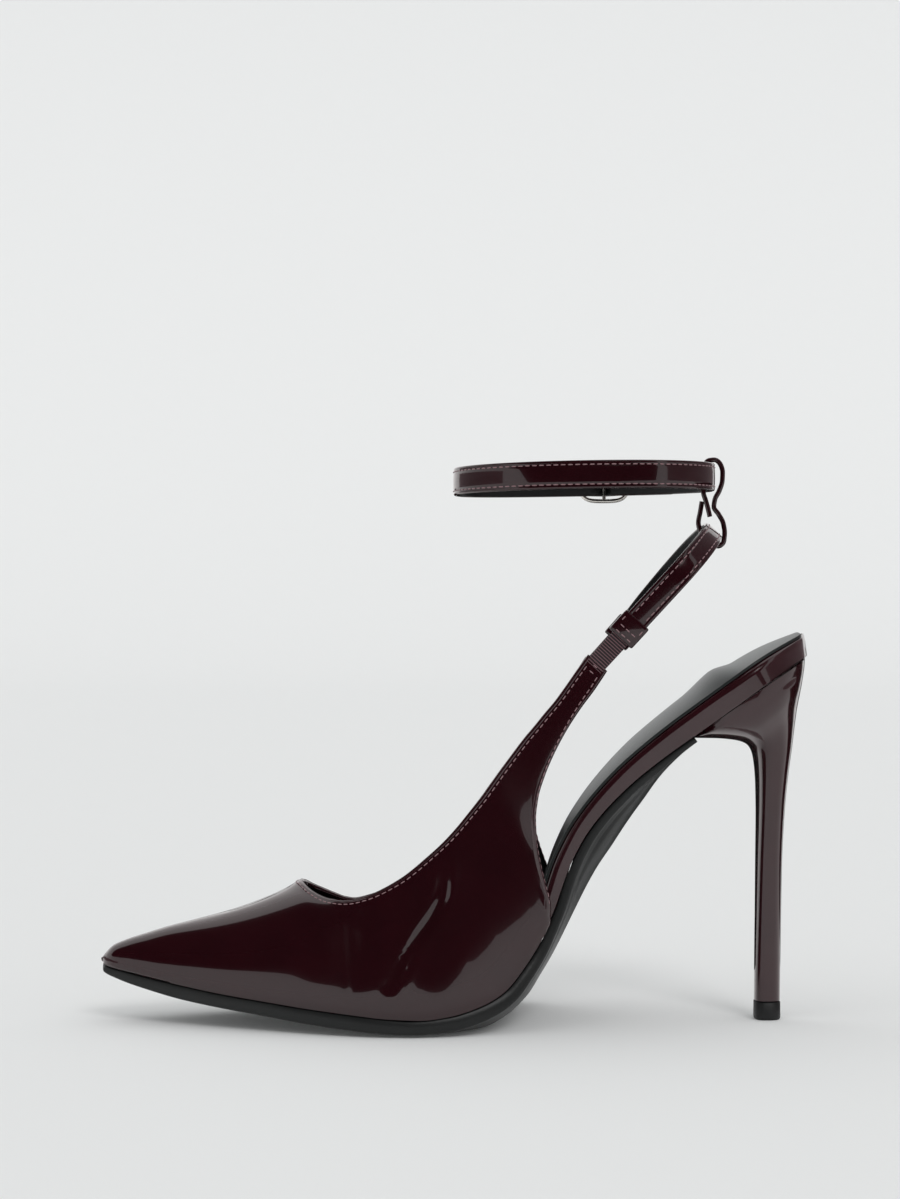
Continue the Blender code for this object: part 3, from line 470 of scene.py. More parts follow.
# %% The sole table
SOLE = (
    ("x", "z", "skew", "medial", "lateral", "edge", "belly", "overhang", "proud", "height", "crown"),
    (-104.8, 17.2, 0.0, 3.8, -2.2, 1.2, 0.0, 0.3, -0.7, 2.0, 0.2),
    (-103.8, 16.6, 0.0, 6.0, 0.1, 1.9, 0.0, 0.6, -0.7, 2.0, 0.2),
    (-100.0, 15.7, 0.3, 8.2, 2.6, 2.7, 0.1, 0.9, -0.7, 2.0, 0.2),
    (-90.7, 13.9, 1.0, 12.4, 7.2, 3.5, 0.3, 1.0, -0.7, 2.0, 0.3),
    (-78.1, 11.7, 2.0, 17.6, 13.2, 4.0, 0.4, 1.0, -0.7, 2.0, 0.3),
    (-67.7, 10.2, 3.0, 21.9, 18.2, 4.0, 0.5, 1.0, -0.7, 2.0, 0.3),
    (-54.2, 8.7, 4.5, 27.3, 24.6, 4.1, 0.7, 1.0, -0.7, 2.0, 0.4),
    (-43.6, 7.5, 5.5, 31.1, 29.1, 4.3, 0.9, 1.0, -0.7, 2.0, 0.4),
    (-33.0, 6.5, 6.5, 34.5, 33.1, 4.4, 1.4, 1.0, -0.7, 2.0, 0.5),
    (-24.3, 5.7, 7.2, 36.5, 35.7, 4.4, 1.8, 1.0, -0.7, 2.0, 0.6),
    (-12.8, 4.8, 8.0, 37.4, 37.5, 4.0, 1.8, 1.0, -0.7, 2.0, 0.8),
    (-1.4, 5.8, 8.0, 36.0, 37.4, 4.2, 2.6, 1.0, -0.7, 2.0, 1.0),
    (5.2, 7.5, 8.0, 34.2, 36.6, 4.2, 3.8, 1.0, -0.7, 2.1, 1.2),
    (10.1, 9.4, 7.6, 32.4, 35.3, 4.1, 3.2, 1.0, -0.7, 2.3, 1.4),
    (15.0, 12.5, 7.0, 30.2, 33.3, 3.9, 2.2, 1.2, -0.5, 2.6, 1.6),
    (18.8, 16.8, 6.5, 28.3, 31.2, 3.6, 1.6, 1.4, -0.3, 3.0, 1.8),
    (23.7, 23.6, 5.8, 25.6, 28.2, 3.2, 1.4, 2.0, 0.3, 3.7, 2.0),
    (28.9, 34.0, 4.6, 23.3, 25.0, 2.8, 2.2, 2.6, 0.9, 4.6, 2.2),
    (34.0, 47.8, 3.4, 21.4, 22.6, 2.7, 4.6, 2.6, 1.1, 5.0, 2.3),
    (39.5, 57.8, 2.4, 20.6, 21.4, 2.6, 5.9, 2.6, 1.2, 5.1, 2.4),
    (50.2, 69.9, 1.0, 20.8, 21.0, 2.4, 4.6, 2.6, 1.2, 5.7, 2.4),
    (61.1, 79.0, 0.0, 21.8, 21.8, 2.0, 1.8, 2.6, 1.2, 6.3, 2.6),
    (72.6, 87.3, 0.0, 23.2, 23.2, 1.5, 0.2, 2.6, 1.0, 6.8, 3.1),
    (83.0, 94.8, 0.0, 24.0, 24.0, 1.5, 0.0, 2.6, 0.9, 6.9, 3.4),
    (90.0, 99.7, 0.0, 23.2, 23.2, 1.5, 0.0, 2.6, 0.8, 6.9, 1.0),
    (96.0, 103.6, 0.0, 19.6, 19.6, 1.5, 0.0, 2.6, 0.8, 6.8, 0.5),
    (100.6, 106.2, 0.0, 14.2, 14.2, 1.5, 0.0, 2.6, 0.8, 6.7, 0.4),
    (103.9, 107.9, 0.0, 8.2, 8.2, 1.5, 0.0, 2.6, 0.8, 6.6, 0.4),
    (105.4, 108.6, 0.0, 2.4, 2.4, 1.5, 0.0, 2.6, 0.8, 6.6, 0.4),
)
SEAT_START = 88.0
SEAT_END_LEAN = 0.15
SOLE_COLUMNS = columns(SOLE)


def sole(name, x):
    """One column of the sole's table at any place along it."""
    return smooth(x, SOLE_COLUMNS["x"], SOLE_COLUMNS[name])


def sole_up(x):
    """The direction away from the ground across the sole, turning upright at the seat's end."""
    reach = 1.5
    rise = sole("z", x + reach) - sole("z", x - reach)
    turn = np.arctan2(rise, 2 * reach)
    end = np.clip((x - SEAT_START) / (SOLE_COLUMNS["x"][-1] - SEAT_START), 0.0, 1.0)
    turn = turn * (1 - end * end * (3 - 2 * end)) + SEAT_END_LEAN * end
    return -np.sin(turn), np.cos(turn)


def sole_point(x, y, height):
    """A point that far above the sole's upper edge, at this section and this y."""
    medial, lateral = sole("medial", x), sole("lateral", x)
    across = np.clip((y + medial) / np.maximum(medial + lateral, 1.0), 0.0, 1.0)
    up_x, up_z = sole_up(x)
    along = x + sole("skew", x) * across + height * up_x
    return np.stack([along, y, sole("z", x) + height * up_z], axis=-1)


print("sole line from", SOLE[1][0], "to", SOLE[-1][0], "mm")

# %% [markdown]
# ## Ribs of the upper
# A rib is the line that the leather takes from the sole's edge up to the ridge of the vamp, or to
# the topline behind the throat. The two tables hold a rib in each row: where it starts and ends,
# and how far it has turned over. They are the solid's ribs, with more made between, but behind the
# ball the quarters lean in by up to 2.4 mm more on each side, as their reflections show.

# %% The rib tables
FRONT_RIBS = (
    ("foot", "x", "z", "apart", "wrap", "roof", "back", "drop"),
    (-105.0, -105.2, 18.8, 0.0, 90.0, 0.0, 0.0, 0.0),
    (-104.2, -104.0, 20.3, 0.0, 90.0, 0.0, 0.0, 0.0),
    (-101.8, -102.0, 22.3, 0.0, 90.0, 0.05, 0.0, 0.0),
    (-97.0, -97.7, 24.2, 0.0, 90.0, 0.1, 0.0, 0.0),
    (-90.7, -91.7, 26.1, 0.0, 90.0, 0.15, 0.0, 0.0),
    (-84.4, -85.4, 28.0, 0.0, 90.0, 0.2, 0.0, 0.0),
    (-78.1, -79.4, 29.5, 0.0, 90.0, 0.2, 0.0, 0.0),
    (-70.0, -71.9, 31.4, 0.0, 90.0, 0.2, 0.0, 0.0),
    (-62.0, -63.8, 33.5, 0.0, 90.0, 0.2, 0.0, 0.0),
    (-54.2, -55.8, 36.5, 0.0, 90.0, 0.2, 0.0, 0.0),
    (-49.0, -50.4, 39.0, 0.0, 90.0, 0.2, 0.0, 0.0),
    (-45.0, -46.1, 41.9, 0.0, 90.0, 0.2, 0.0, 0.0),
    (-42.8, -44.9, 41.4, 5.0, 81.0, 0.2, 0.0, 0.1),
    (-40.2, -42.8, 40.1, 10.0, 72.0, 0.2, 0.0, 0.5),
    (-37.2, -39.6, 38.8, 15.0, 63.0, 0.2, 0.0, 1.2),
    (-34.0, -36.5, 38.2, 19.0, 55.0, 0.2, 0.0, 2.4),
    (-30.6, -33.4, 38.1, 22.0, 49.0, 0.2, 0.0, 3.8),
    (-27.0, -30.4, 38.4, 24.3, 45.0, 0.2, 0.2, 4.7),
    (-20.0, -24.5, 40.2, 27.2, 41.0, 0.15, 1.7, 4.8),
    (-10.0, -15.7, 44.9, 28.3, 38.0, 0.1, 2.4, 3.8),
    (-1.4, -8.5, 50.6, 28.3, 36.0, 0.1, 2.6, 2.9),
    (5.2, -3.0, 55.7, 28.0, 34.0, 0.1, 2.6, 2.6),
    (10.1, 0.6, 59.6, 27.7, 32.0, 0.1, 2.6, 2.4),
    (15.0, 3.6, 63.2, 27.4, 30.0, 0.1, 2.55, 2.35),
    (20.2, 6.0, 66.1, 27.1, 28.0, 0.1, 2.5, 2.3),
    (25.0, 8.0, 68.6, 26.8, 26.5, 0.1, 2.5, 2.25),
    (28.2, 9.8, 71.1, 26.6, 25.0, 0.1, 2.45, 2.25),
)
BACK_RIBS = (
    ("low_x", "low_z", "low_y", "out_y", "shift", "x", "z", "apart", "wrap", "back", "drop"),
    (27.9, 37.0, 26.3, 28.2, 1.8, 11.3, 73.2, 26.4, 24.0, 2.43, 2.23),
    (26.6, 42.4, 26.4, 28.4, 1.0, 13.0, 75.6, 26.3, 23.0, 2.36, 2.16),
    (25.1, 48.4, 26.5, 28.5, 0.1, 15.3, 78.7, 26.2, 22.0, 2.28, 2.1),
    (24.0, 55.0, 26.6, 28.6, -0.85, 17.8, 82.1, 26.1, 21.0, 2.25, 2.06),
    (23.6, 61.8, 26.5, 28.7, -1.5, 20.4, 85.5, 26.0, 20.0, 2.21, 2.03),
    (24.3, 68.1, 26.4, 28.5, -1.6, 23.2, 88.8, 25.9, 20.0, 2.17, 1.99),
    (26.2, 74.4, 26.2, 28.2, -1.3, 26.2, 92.5, 25.7, 20.0, 2.14, 1.96),
    (29.2, 81.4, 26.0, 27.8, -0.8, 29.3, 96.2, 25.6, 20.0, 2.06, 1.89),
    (32.6, 87.8, 25.8, 27.2, -0.4, 32.2, 100.2, 25.4, 20.0, 1.99, 1.83),
    (36.6, 94.0, 25.5, 26.5, -0.1, 35.0, 104.2, 25.3, 20.0, 1.92, 1.76),
    (40.6, 99.4, 25.3, 25.9, 0.0, 37.1, 107.1, 25.2, 20.0, 1.84, 1.69),
    (44.2, 104.8, 25.2, 25.4, 0.0, 38.8, 109.5, 25.2, 20.0, 1.77, 1.62),
)
GAP = 0.3  # clearance between pieces that meet, mm
WALL = 1.4  # the leather with its lining
UPPER_BULGE = 1.0  # how far the upper swells over the sole's edge


def upper_rows():
    """Both tables as one list of ribs: for each, its lower and upper ends on the inner and outer
    sides, as points, and how it wraps and how straight it runs."""
    front, back = columns(FRONT_RIBS), columns(BACK_RIBS)
    foot = front["foot"]
    over = sole("overhang", foot)
    medial, lateral = sole("medial", foot), sole("lateral", foot)
    low_in = sole_point(foot, -medial, GAP + 0 * foot)
    low_out = sole_point(foot, lateral, GAP + 0 * foot)
    low_in[:, 1] -= over
    low_out[:, 1] += over
    middle = np.where(foot < 0, (lateral - medial) / 2, 0.0)
    high_in = np.stack([front["x"], middle - front["apart"], front["z"]], axis=1)
    front_high = [front["x"] + front["back"], middle + front["apart"], front["z"] - front["drop"]]
    high_out = np.stack(front_high, axis=1)
    flat = np.zeros(len(back["x"]))
    low_in = np.vstack([low_in, np.stack([back["low_x"], -back["low_y"], back["low_z"]], axis=1)])
    low_out_x = back["low_x"] + back["shift"] + back["back"]
    back_out = np.stack([low_out_x, back["out_y"], back["low_z"] - back["drop"]], axis=1)
    low_out = np.vstack([low_out, back_out])
    high_in = np.vstack([high_in, np.stack([back["x"], -back["apart"], back["z"]], axis=1)])
    back_high = [back["x"] + back["back"], back["apart"], back["z"] - back["drop"]]
    high_out = np.vstack([high_out, np.stack(back_high, axis=1)])
    wrap = np.radians(np.concatenate([front["wrap"], back["wrap"]]))
    roof = np.concatenate([front["roof"], flat + front["roof"][-1]])
    fade = 1 - step(np.arange(1, len(flat) + 1), 0, len(flat))
    swell = UPPER_BULGE * np.concatenate([np.clip((over - 0.3) / 0.7, 0, 1), fade])
    return low_in, low_out, high_in, high_out, wrap, roof, swell


# %% [markdown]
# ## The leather between the ribs
# In side view a rib runs straight, by the sine of its turning angle, and sideways it moves by one
# less the cosine: a quarter of an ellipse that leaves the sole upright. The throat is rounded by
# letting its opening grow faster than the ribs move back.

# %% Side surfaces
BETWEEN = 6
ACROSS = 44
TURN_UNDER_MM = 0.5


def side_of_upper(low, high, wrap, roof, swell, outwards):
    """A grid of points over one side: v runs from the sole's edge (0) to the ridge or topline (1).
    The foot of the rib turns under by the square of what is left of its first 5 percent."""
    v = np.linspace(0.0, 1.0, ACROSS + 1)[None, :]
    angle = wrap[:, None] * v
    up = np.sin(angle) / np.sin(wrap)[:, None]
    across = (1 - np.cos(angle)) / (1 - np.cos(wrap))[:, None]
    straighten = roof[:, None] * np.sin(math.pi * v) ** 2
    up = up + straighten * (v - up)
    across = across + straighten * (v - across)
    x = low[:, None, 0] + (high - low)[:, None, 0] * up
    z = low[:, None, 2] + (high - low)[:, None, 2] * up
    y = low[:, None, 1] + (high - low)[:, None, 1] * across
    under = TURN_UNDER_MM * np.clip(1 - v / 0.05, 0, 1) ** 2 * np.clip(swell, 0, 1)[:, None] ** 3
    y = y + outwards * (swell[:, None] * np.sin(math.pi * v) * (1 - v) - under)
    return np.stack([x, y, z], axis=2)


def round_throat(high, first):
    """The opening's half width grows evenly in the first step and the rib moves by its square."""
    t = np.arange(1, BETWEEN) / BETWEEN
    start, end = high[first], high[first + BETWEEN]
    rows = slice(first + 1, first + BETWEEN)
    high[rows] = start + (end - start) * (t**2)[:, None]
    high[rows, 1] = start[1] + (end[1] - start[1]) * t
    return rows, t


def normals_of(grid, outwards):
    """Unit normals from the differences along both ways of the grid, pointing off the foot."""
    normal = unit(np.cross(np.gradient(grid, axis=0), np.gradient(grid, axis=1)))
    halfway = normal[:, grid.shape[1] // 2, None]
    return normal * np.where(halfway[..., 1:2] * outwards < 0, -1, 1)


def relaxed(grid, middle, reach, rounds):
    """Evens out the ribs near one rib: again and again each point moves towards the mean of its
    neighbours on the next ribs, less so far from that rib and beside the edges. The grid itself
    is changed."""
    place = np.abs(np.arange(len(grid)) - middle) / reach
    up = np.linspace(0, 1, grid.shape[1])
    near = (1 - step(place, 0.4, 1.0))[:, None, None]
    share = near * (step(up, 0.0, 0.1) * (1 - step(up, 0.86, 1.0)))[:, None]
    for _ in range(rounds):
        mean = (grid[:-2] + grid[2:]) / 2
        grid[1:-1] += 0.5 * share[1:-1] * (mean - grid[1:-1])


rows = [finer(r, BETWEEN) for r in upper_rows()]
low_in, low_out, high_in, high_out, wrap, roof, swell = rows
THROAT = int(np.argmax(columns(FRONT_RIBS)["apart"] > 0) - 1) * BETWEEN
NOSE = 3 * BETWEEN
QUARTER = (len(columns(FRONT_RIBS)["x"]) - 1) * BETWEEN
round_throat(high_in, THROAT)
cut_rows, t = round_throat(high_out, THROAT)
wrap[cut_rows] = wrap[THROAT] + (wrap[THROAT + BETWEEN] - wrap[THROAT]) * t
medial = side_of_upper(low_in, high_in, wrap, roof, swell, -1)
lateral = side_of_upper(low_out, high_out, wrap, roof, swell, 1)
for grid in (medial, lateral):
    relaxed(grid, THROAT, 5 * BETWEEN, 120)
    relaxed(grid[..., 1:2], QUARTER, 6 * BETWEEN, 200)
print("upper:", medial.shape[0], "ribs of", medial.shape[1], "points on each side")

# %% [markdown]
# ## Creases of wear
# Patent leather shows every fold: where the vamp flexes at the ball, soft troughs run from the
# topline down towards the sole. Each is placed as a few points in side view, with a depth
# and a width in mm. It pushes the skin in by a bell curve of the distance to that line, and fades
# towards both ends of it.

# %% Creases
MAIN_CREASE = (
    (-2.8, 47.0),
    (-3.2, 41.0),
    (-5.6, 35.5),
    (-11.0, 28.0),
    (-15.2, 21.0),
    (-18.2, 14.6),
)
# Each crease: its line as x and z, its depth and its width.
CREASES = (
    (MAIN_CREASE, 1.05, 1.6),
    (((-9.8, 42.5), (-11.2, 36.0), (-14.8, 30.4), (-18.6, 24.8)), 0.12, 1.4),
    (((-29.5, 35.5), (-24.4, 32.6), (-22.4, 28.0), (-25.5, 22.0)), 0.10, 1.8),
    (((1.6, 27.0), (-3.8, 22.5)), 0.08, 2.0),
)
LATERAL_SHIFT = 5.0  # farther back on the outer side, as the ball's joint is
LATERAL_SHARE = 0.7  # and shallower


def crease_depth(grid, shift, share):
    """How far each point is pushed in: the sum over the creases of depth * exp(-(away/width)^2),
    less beside the sole and the topline, and swelling a little beside each trough."""
    place = grid[..., [0, 2]].reshape(-1, 1, 2)
    total = np.zeros(grid.shape[:2])
    for line, depth, width in CREASES:
        route = through([(x + shift, z) for x, z in line], 48)
        away = np.linalg.norm(place - route[None], axis=2)
        nearest, away = [a.reshape(grid.shape[:2]) for a in (away.argmin(axis=1), away.min(axis=1))]
        fading = np.sin(math.pi * (nearest + 0.5) / len(route)) ** 0.35
        trough = np.exp(-((away / width) ** 2))
        shoulder = np.exp(-(((away - 1.9 * width) / (0.9 * width)) ** 2))
        total += share * depth * fading * (trough - 0.45 * shoulder)
    v = np.linspace(0.0, 1.0, grid.shape[1])[None, :]
    return total * step(v, 0.03, 0.2) * (1 - 0.8 * step(v, 0.8, 0.97))


skin_medial = medial - normals_of(medial, -1) * crease_depth(medial, 0.0, 1.0)[..., None]
pushed = crease_depth(lateral, LATERAL_SHIFT, LATERAL_SHARE)
skin_lateral = lateral - normals_of(lateral, 1) * pushed[..., None]
for skin in (skin_medial, skin_lateral):
    skin[: THROAT + 1, -1] = (medial[: THROAT + 1, -1] + lateral[: THROAT + 1, -1]) / 2
print("deepest crease", round(float(crease_depth(medial, 0.0, 1.0).max()), 2), "mm")

# %% [markdown]
# ## The upper as one hollow shell
# The real upper is two layers cemented together: the patent skin and a black lining. One closed
# shell carries both, with the skin's material outside and the lining's inside. At the toe, where
# both walls would meet, the shell is filled as a real toe puff fills it, and its tip is a small
# dome of shrinking rings.

# %% Build the shell
# The tip's rings: their share of the first rib's size, and how far they stand out before it.
DOME = ((0.0, 0.42), (0.45, 0.37), (0.75, 0.27), (0.93, 0.12))


def inner_side(grid, outwards):
    """The side moved in by the wall, square to the surface, and straight in at its cut edges."""
    inner = grid - WALL * normals_of(grid, outwards)
    for edge in (np.s_[:, 0], np.s_[-1, :]):
        inner[edge] = grid[edge]
        inner[edge][..., 1] -= outwards * WALL
    return inner


def with_dome(sides):
    """Both sides with rings before their first rib that shrink towards its middle and step out."""
    centre = np.concatenate([s[0] for s in sides]).mean(axis=0)
    domed = []
    for side in sides:
        rings = [centre + (side[0] - centre) * share - [out, 0.0, 0.0] for share, out in DOME[1:]]
        domed.append(np.concatenate([np.array(rings), side]))
    return domed, centre - [DOME[0][1], 0.0, 0.0]


linings = [inner_side(medial, -1), inner_side(lateral, 1)]
ridge = (linings[0][: THROAT + 1, -1] + linings[1][: THROAT + 1, -1]) / 2
for lining in linings:
    lining[: THROAT + 1, -1] = ridge
(out_medial, out_lateral), tip = with_dome([skin_medial, skin_lateral])
extra = len(DOME) - 1
points = [out_medial, out_lateral, *linings]
counts = np.cumsum([0] + [p.shape[0] * p.shape[1] for p in points])
number = [
    start + np.arange(p.shape[0] * p.shape[1]).reshape(p.shape[:2])
    for start, p in zip(counts, points)
]
number[1][: THROAT + extra + 1, -1] = number[0][: THROAT + extra + 1, -1]
number[3][: THROAT + 1, -1] = number[2][: THROAT + 1, -1]
upper_points = np.concatenate([p.reshape(-1, 3) for p in points] + [tip[None]])
m, t, mi, ti = number
nose = NOSE + extra
outside = [quads(m), quads(t)]
for out, lined in ((m, mi), (t, ti)):
    foot = np.stack([out[nose:, 0], lined[NOSE:, 0]], axis=1)
    top = np.stack([out[THROAT + extra :, -1], lined[THROAT:, -1]], axis=1)
    end = np.stack([out[-1, :], lined[-1, :]], axis=1)
    outside += [quads(foot), quads(top), quads(end)]
outside.append(np.stack([m[: nose - 1, 0], m[1:nose, 0], t[1:nose, 0], t[: nose - 1, 0]], axis=1))
outside.append([[m[nose - 1, 0], m[nose, 0], mi[NOSE, 0], ti[NOSE, 0], t[nose, 0], t[nose - 1, 0]]])
rim = np.concatenate([m[0], t[0, -2::-1]])
tip_number = np.full(len(rim), len(upper_points) - 1)
outside.append(np.stack([rim, np.roll(rim, -1), tip_number], axis=1))
inside = [quads(mi[NOSE:]), quads(ti[NOSE:]), [np.concatenate([mi[NOSE], ti[NOSE, -2::-1]])]]
slots = [0] * sum(len(f) for f in outside) + [1] * sum(len(f) for f in inside)
used = np.unique(np.concatenate([np.ravel(f) for f in outside + inside]))
renumber = np.zeros(len(upper_points), int)
renumber[used] = np.arange(len(used))
faces = [renumber[np.asarray(f)] for f in outside + inside]
leathers = [patent_oxblood, black_lining]
upper = make_piece("upper_leather", upper_points[used], faces, leathers, slots)
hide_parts("upper")

# %% [markdown]
# ## The folded edge
# The patent skin is skived thin, turned over the lining and hammered flat, so the topline ends in
# a thin round fold that catches the light. It is made as a small oval carried along the edge. The
# edge's own direction and the leather's normal give the third direction, away from the leather,
# which also works across the throat.

# %% Edges of the upper
FOLD_HALF_THICK_MM = 0.79  # through the leather
FOLD_HALF_WIDE_MM = 0.72  # along it
FOLD_INSET_MM = 0.55  # how far the fold's middle lies inside the edge


def edge_frame(path, normal, inside_point):
    """For each point of an edge: the direction square to it and to the normal, off the leather."""
    along = unit(np.gradient(path, axis=0))
    side = unit(np.cross(normal, along))
    inward = np.sum(side * (inside_point - path), axis=1, keepdims=True) > 0
    return side * np.where(inward, -1, 1)


def thin_out(path, least=0.25):
    """The numbers of the points that are at least that far apart along the path."""
    length = np.concatenate([[0.0], np.cumsum(np.linalg.norm(np.diff(path, axis=0), axis=1))])
    return np.unique(np.searchsorted(length, np.arange(0.0, length[-1], least)))


def edge_of_upper():
    """The edge from the sole on the inner side, up the back edge, across the quarter's end, down
    the topline, round the throat and back to the sole on the outer side."""
    parts = []
    for grid, outwards in ((skin_medial, -1), (skin_lateral, 1)):
        normal = normals_of(grid, outwards)
        at = [(i, 0, i, 3) for i in range(QUARTER, len(grid))]
        at += [(len(grid) - 1, j, len(grid) - 4, j) for j in range(1, grid.shape[1] - 1)]
        at += [(i, -1, i, -4) for i in range(len(grid) - 1, THROAT - 1, -1)]
        a = np.array(at)
        parts.append((grid[a[:, 0], a[:, 1]], normal[a[:, 0], a[:, 1]], grid[a[:, 2], a[:, 3]]))
    joined = [np.concatenate([parts[0][k], parts[1][k][-2::-1]]) for k in range(3)]
    return [values[thin_out(joined[0])] for values in joined]


edge_path, edge_normal, edge_inside = edge_of_upper()
middle_normal = edge_normal.copy()
for _ in range(4):
    middle_normal[1:-1] = unit(middle_normal[:-2] + middle_normal[1:-1] + middle_normal[2:])
edge_side = edge_frame(edge_path, middle_normal, edge_inside)
for _ in range(3):
    edge_side[1:-1] = unit(edge_side[:-2] + edge_side[1:-1] + edge_side[2:])
turn = np.linspace(0, 2 * math.pi, 14, endpoint=False)
fold = np.stack([FOLD_HALF_THICK_MM * np.cos(turn), FOLD_HALF_WIDE_MM * np.sin(turn)], axis=1)
fold_path = edge_path - middle_normal * WALL / 2 - edge_side * FOLD_INSET_MM
rings = sweep(fold_path, middle_normal, edge_side, fold)
# The fold's colour is a painted highlight: the upper's patent painted lighter and greyer.
topline_fold = ring_piece("topline_fold", rings, [patent_painted_highlight])

# %% [markdown]
# ## Stitches
# Lockstitch in bonded thread, about twelve to the inch: each stitch shows as a short rounded bar
# that sinks in at both ends. One bar is worked out once, as rings whose radius is the root of a
# cosine, and copied as arrays to every place along a row.

# %% Rows of stitches
PITCH_MM = 2.1
STITCH_MM = 1.45
THREAD_MM = 0.36
THREAD_UP_MM = 0.04  # how far a bar's middle stands over the leather


def stitch_bar(around=6, rings=7):
    """A bar along the first axis: radius (cos u)^0.5 at each ring, and a point at each end."""
    u = np.linspace(-math.pi / 2, math.pi / 2, rings + 2)[1:-1]
    turn = np.linspace(0, 2 * math.pi, around, endpoint=False)
    radius = np.cos(u) ** 0.5
    x = np.repeat(np.sin(u)[:, None], around, axis=1)
    y = radius[:, None] * np.cos(turn)
    z = radius[:, None] * np.sin(turn)
    body = np.stack([x, y, z], axis=2).reshape(-1, 3)
    number = wrapped(np.arange(rings * around).reshape(rings, around))
    first, last = len(body), len(body) + 1
    caps = []
    for ring, pole in ((number[0], first), (number[-1], last)):
        caps.append(np.stack([ring[:-1], ring[1:], np.full(around, pole)], axis=1))
    ends = np.array([[-1.0, 0.0, 0.0], [1.0, 0.0, 0.0]])
    return np.concatenate([body, ends]), [quads(number), *caps]


def along_row(path, normal, start=1.0, end=1.0, pitch=PITCH_MM):
    """Places every pitch along a row, with the direction of the row and the normal there."""
    length = np.concatenate([[0.0], np.cumsum(np.linalg.norm(np.diff(path, axis=0), axis=1))])
    count = max(int((length[-1] - start - end) / pitch), 1)
    at = start + (length[-1] - start - end - count * pitch) / 2 + (np.arange(count) + 0.5) * pitch
    place = np.stack([np.interp(at, length, path[:, k]) for k in range(3)], axis=1)
    ahead = np.stack([np.interp(at + 0.4, length, path[:, k]) for k in range(3)], axis=1)
    behind = np.stack([np.interp(at - 0.4, length, path[:, k]) for k in range(3)], axis=1)
    up = unit(np.stack([np.interp(at, length, normal[:, k]) for k in range(3)], axis=1))
    return place, unit(ahead - behind), up


def stitch_rows(name, rows):
    """All stitches of some rows as one piece. Each is a bar, half sunk into the leather."""
    bar, bar_faces = stitch_bar()
    places, forward, up = [np.concatenate(parts) for parts in zip(*rows)]
    up = unit(up - forward * np.sum(up * forward, axis=1, keepdims=True))
    side = np.cross(up, forward)
    sizes = (STITCH_MM / 2, THREAD_MM / 2, THREAD_MM / 2)
    copies = places[:, None] + THREAD_UP_MM * up[:, None]
    for k, axis in enumerate((forward, side, up)):
        copies = copies + bar[None, :, k, None] * sizes[k] * axis[:, None]
    shift = (np.arange(len(places)) * len(bar))[:, None, None]
    faces = [(np.asarray(f)[None] + shift).reshape(-1, np.asarray(f).shape[1]) for f in bar_faces]
    piece = make_piece(name, copies.reshape(-1, 3), faces, [bonded_thread], shade=80)


def inside_the_edge(lines, normal, inset):
    """A row parallel to an edge, from lines that start on the edge: on each line the point that
    lies so far along it."""
    walked = np.linalg.norm(np.diff(lines, axis=0), axis=2).cumsum(axis=0)
    length = np.concatenate([np.zeros((1, lines.shape[1])), walked])
    i, column = (length < inset).sum(axis=0) - 1, np.arange(lines.shape[1])
    share = ((inset - length[i, column]) / (length[i + 1, column] - length[i, column]))[:, None]
    return lines[i, column] * (1 - share) + lines[i + 1, column] * share, normal[i, column]


ROW_INSET_MM = 1.5
END_ROWS_MM = (1.2, 3.2)  # the two rows that hold the elastic
END_X, END_Z = 38.0, 104.0  # beyond both lies the quarter's short end
end_edge = np.flatnonzero((edge_path[:, 0] > END_X) & (edge_path[:, 2] > END_Z))
half = len(edge_path) // 2
topline = slice(end_edge[end_edge < half][-1] + 1, end_edge[end_edge > half][0])
row = (edge_path - edge_side * ROW_INSET_MM)[topline]
upper_stitches = [along_row(row, middle_normal[topline], 0.6, 0.6)]
for grid, outwards in ((skin_medial, -1), (skin_lateral, 1)):
    normal = normals_of(grid, outwards)
    back_edge = grid[QUARTER + 2 :].swapaxes(0, 1), normal[QUARTER + 2 :].swapaxes(0, 1)
    upper_stitches.append(along_row(*inside_the_edge(*back_edge, ROW_INSET_MM), 0.6, 2.0))
    for inset in END_ROWS_MM:
        row = inside_the_edge(grid[::-1], normal[::-1], inset)
        upper_stitches.append(along_row(*row, 1.9, 1.9))
stitch_rows("upper_stitches", upper_stitches)

# %% [markdown]
# ## Outsole
# A thin resin sole, glued on after lasting. Its section is level on top, has a small round edge,
# and a belly underneath that is cut off by the floor. In the waist a fine groove runs along the
# edge, where the mould's channel for the welt line is.

# %% Outsole
OUTSOLE_END = 69.9
GROOVE_INSET = 1.7
GROOVE_DEPTH = 0.4
GROOVE_HALF_WIDTH = 0.45
TOP_EDGE_MM = 0.25  # the small edge round the top face


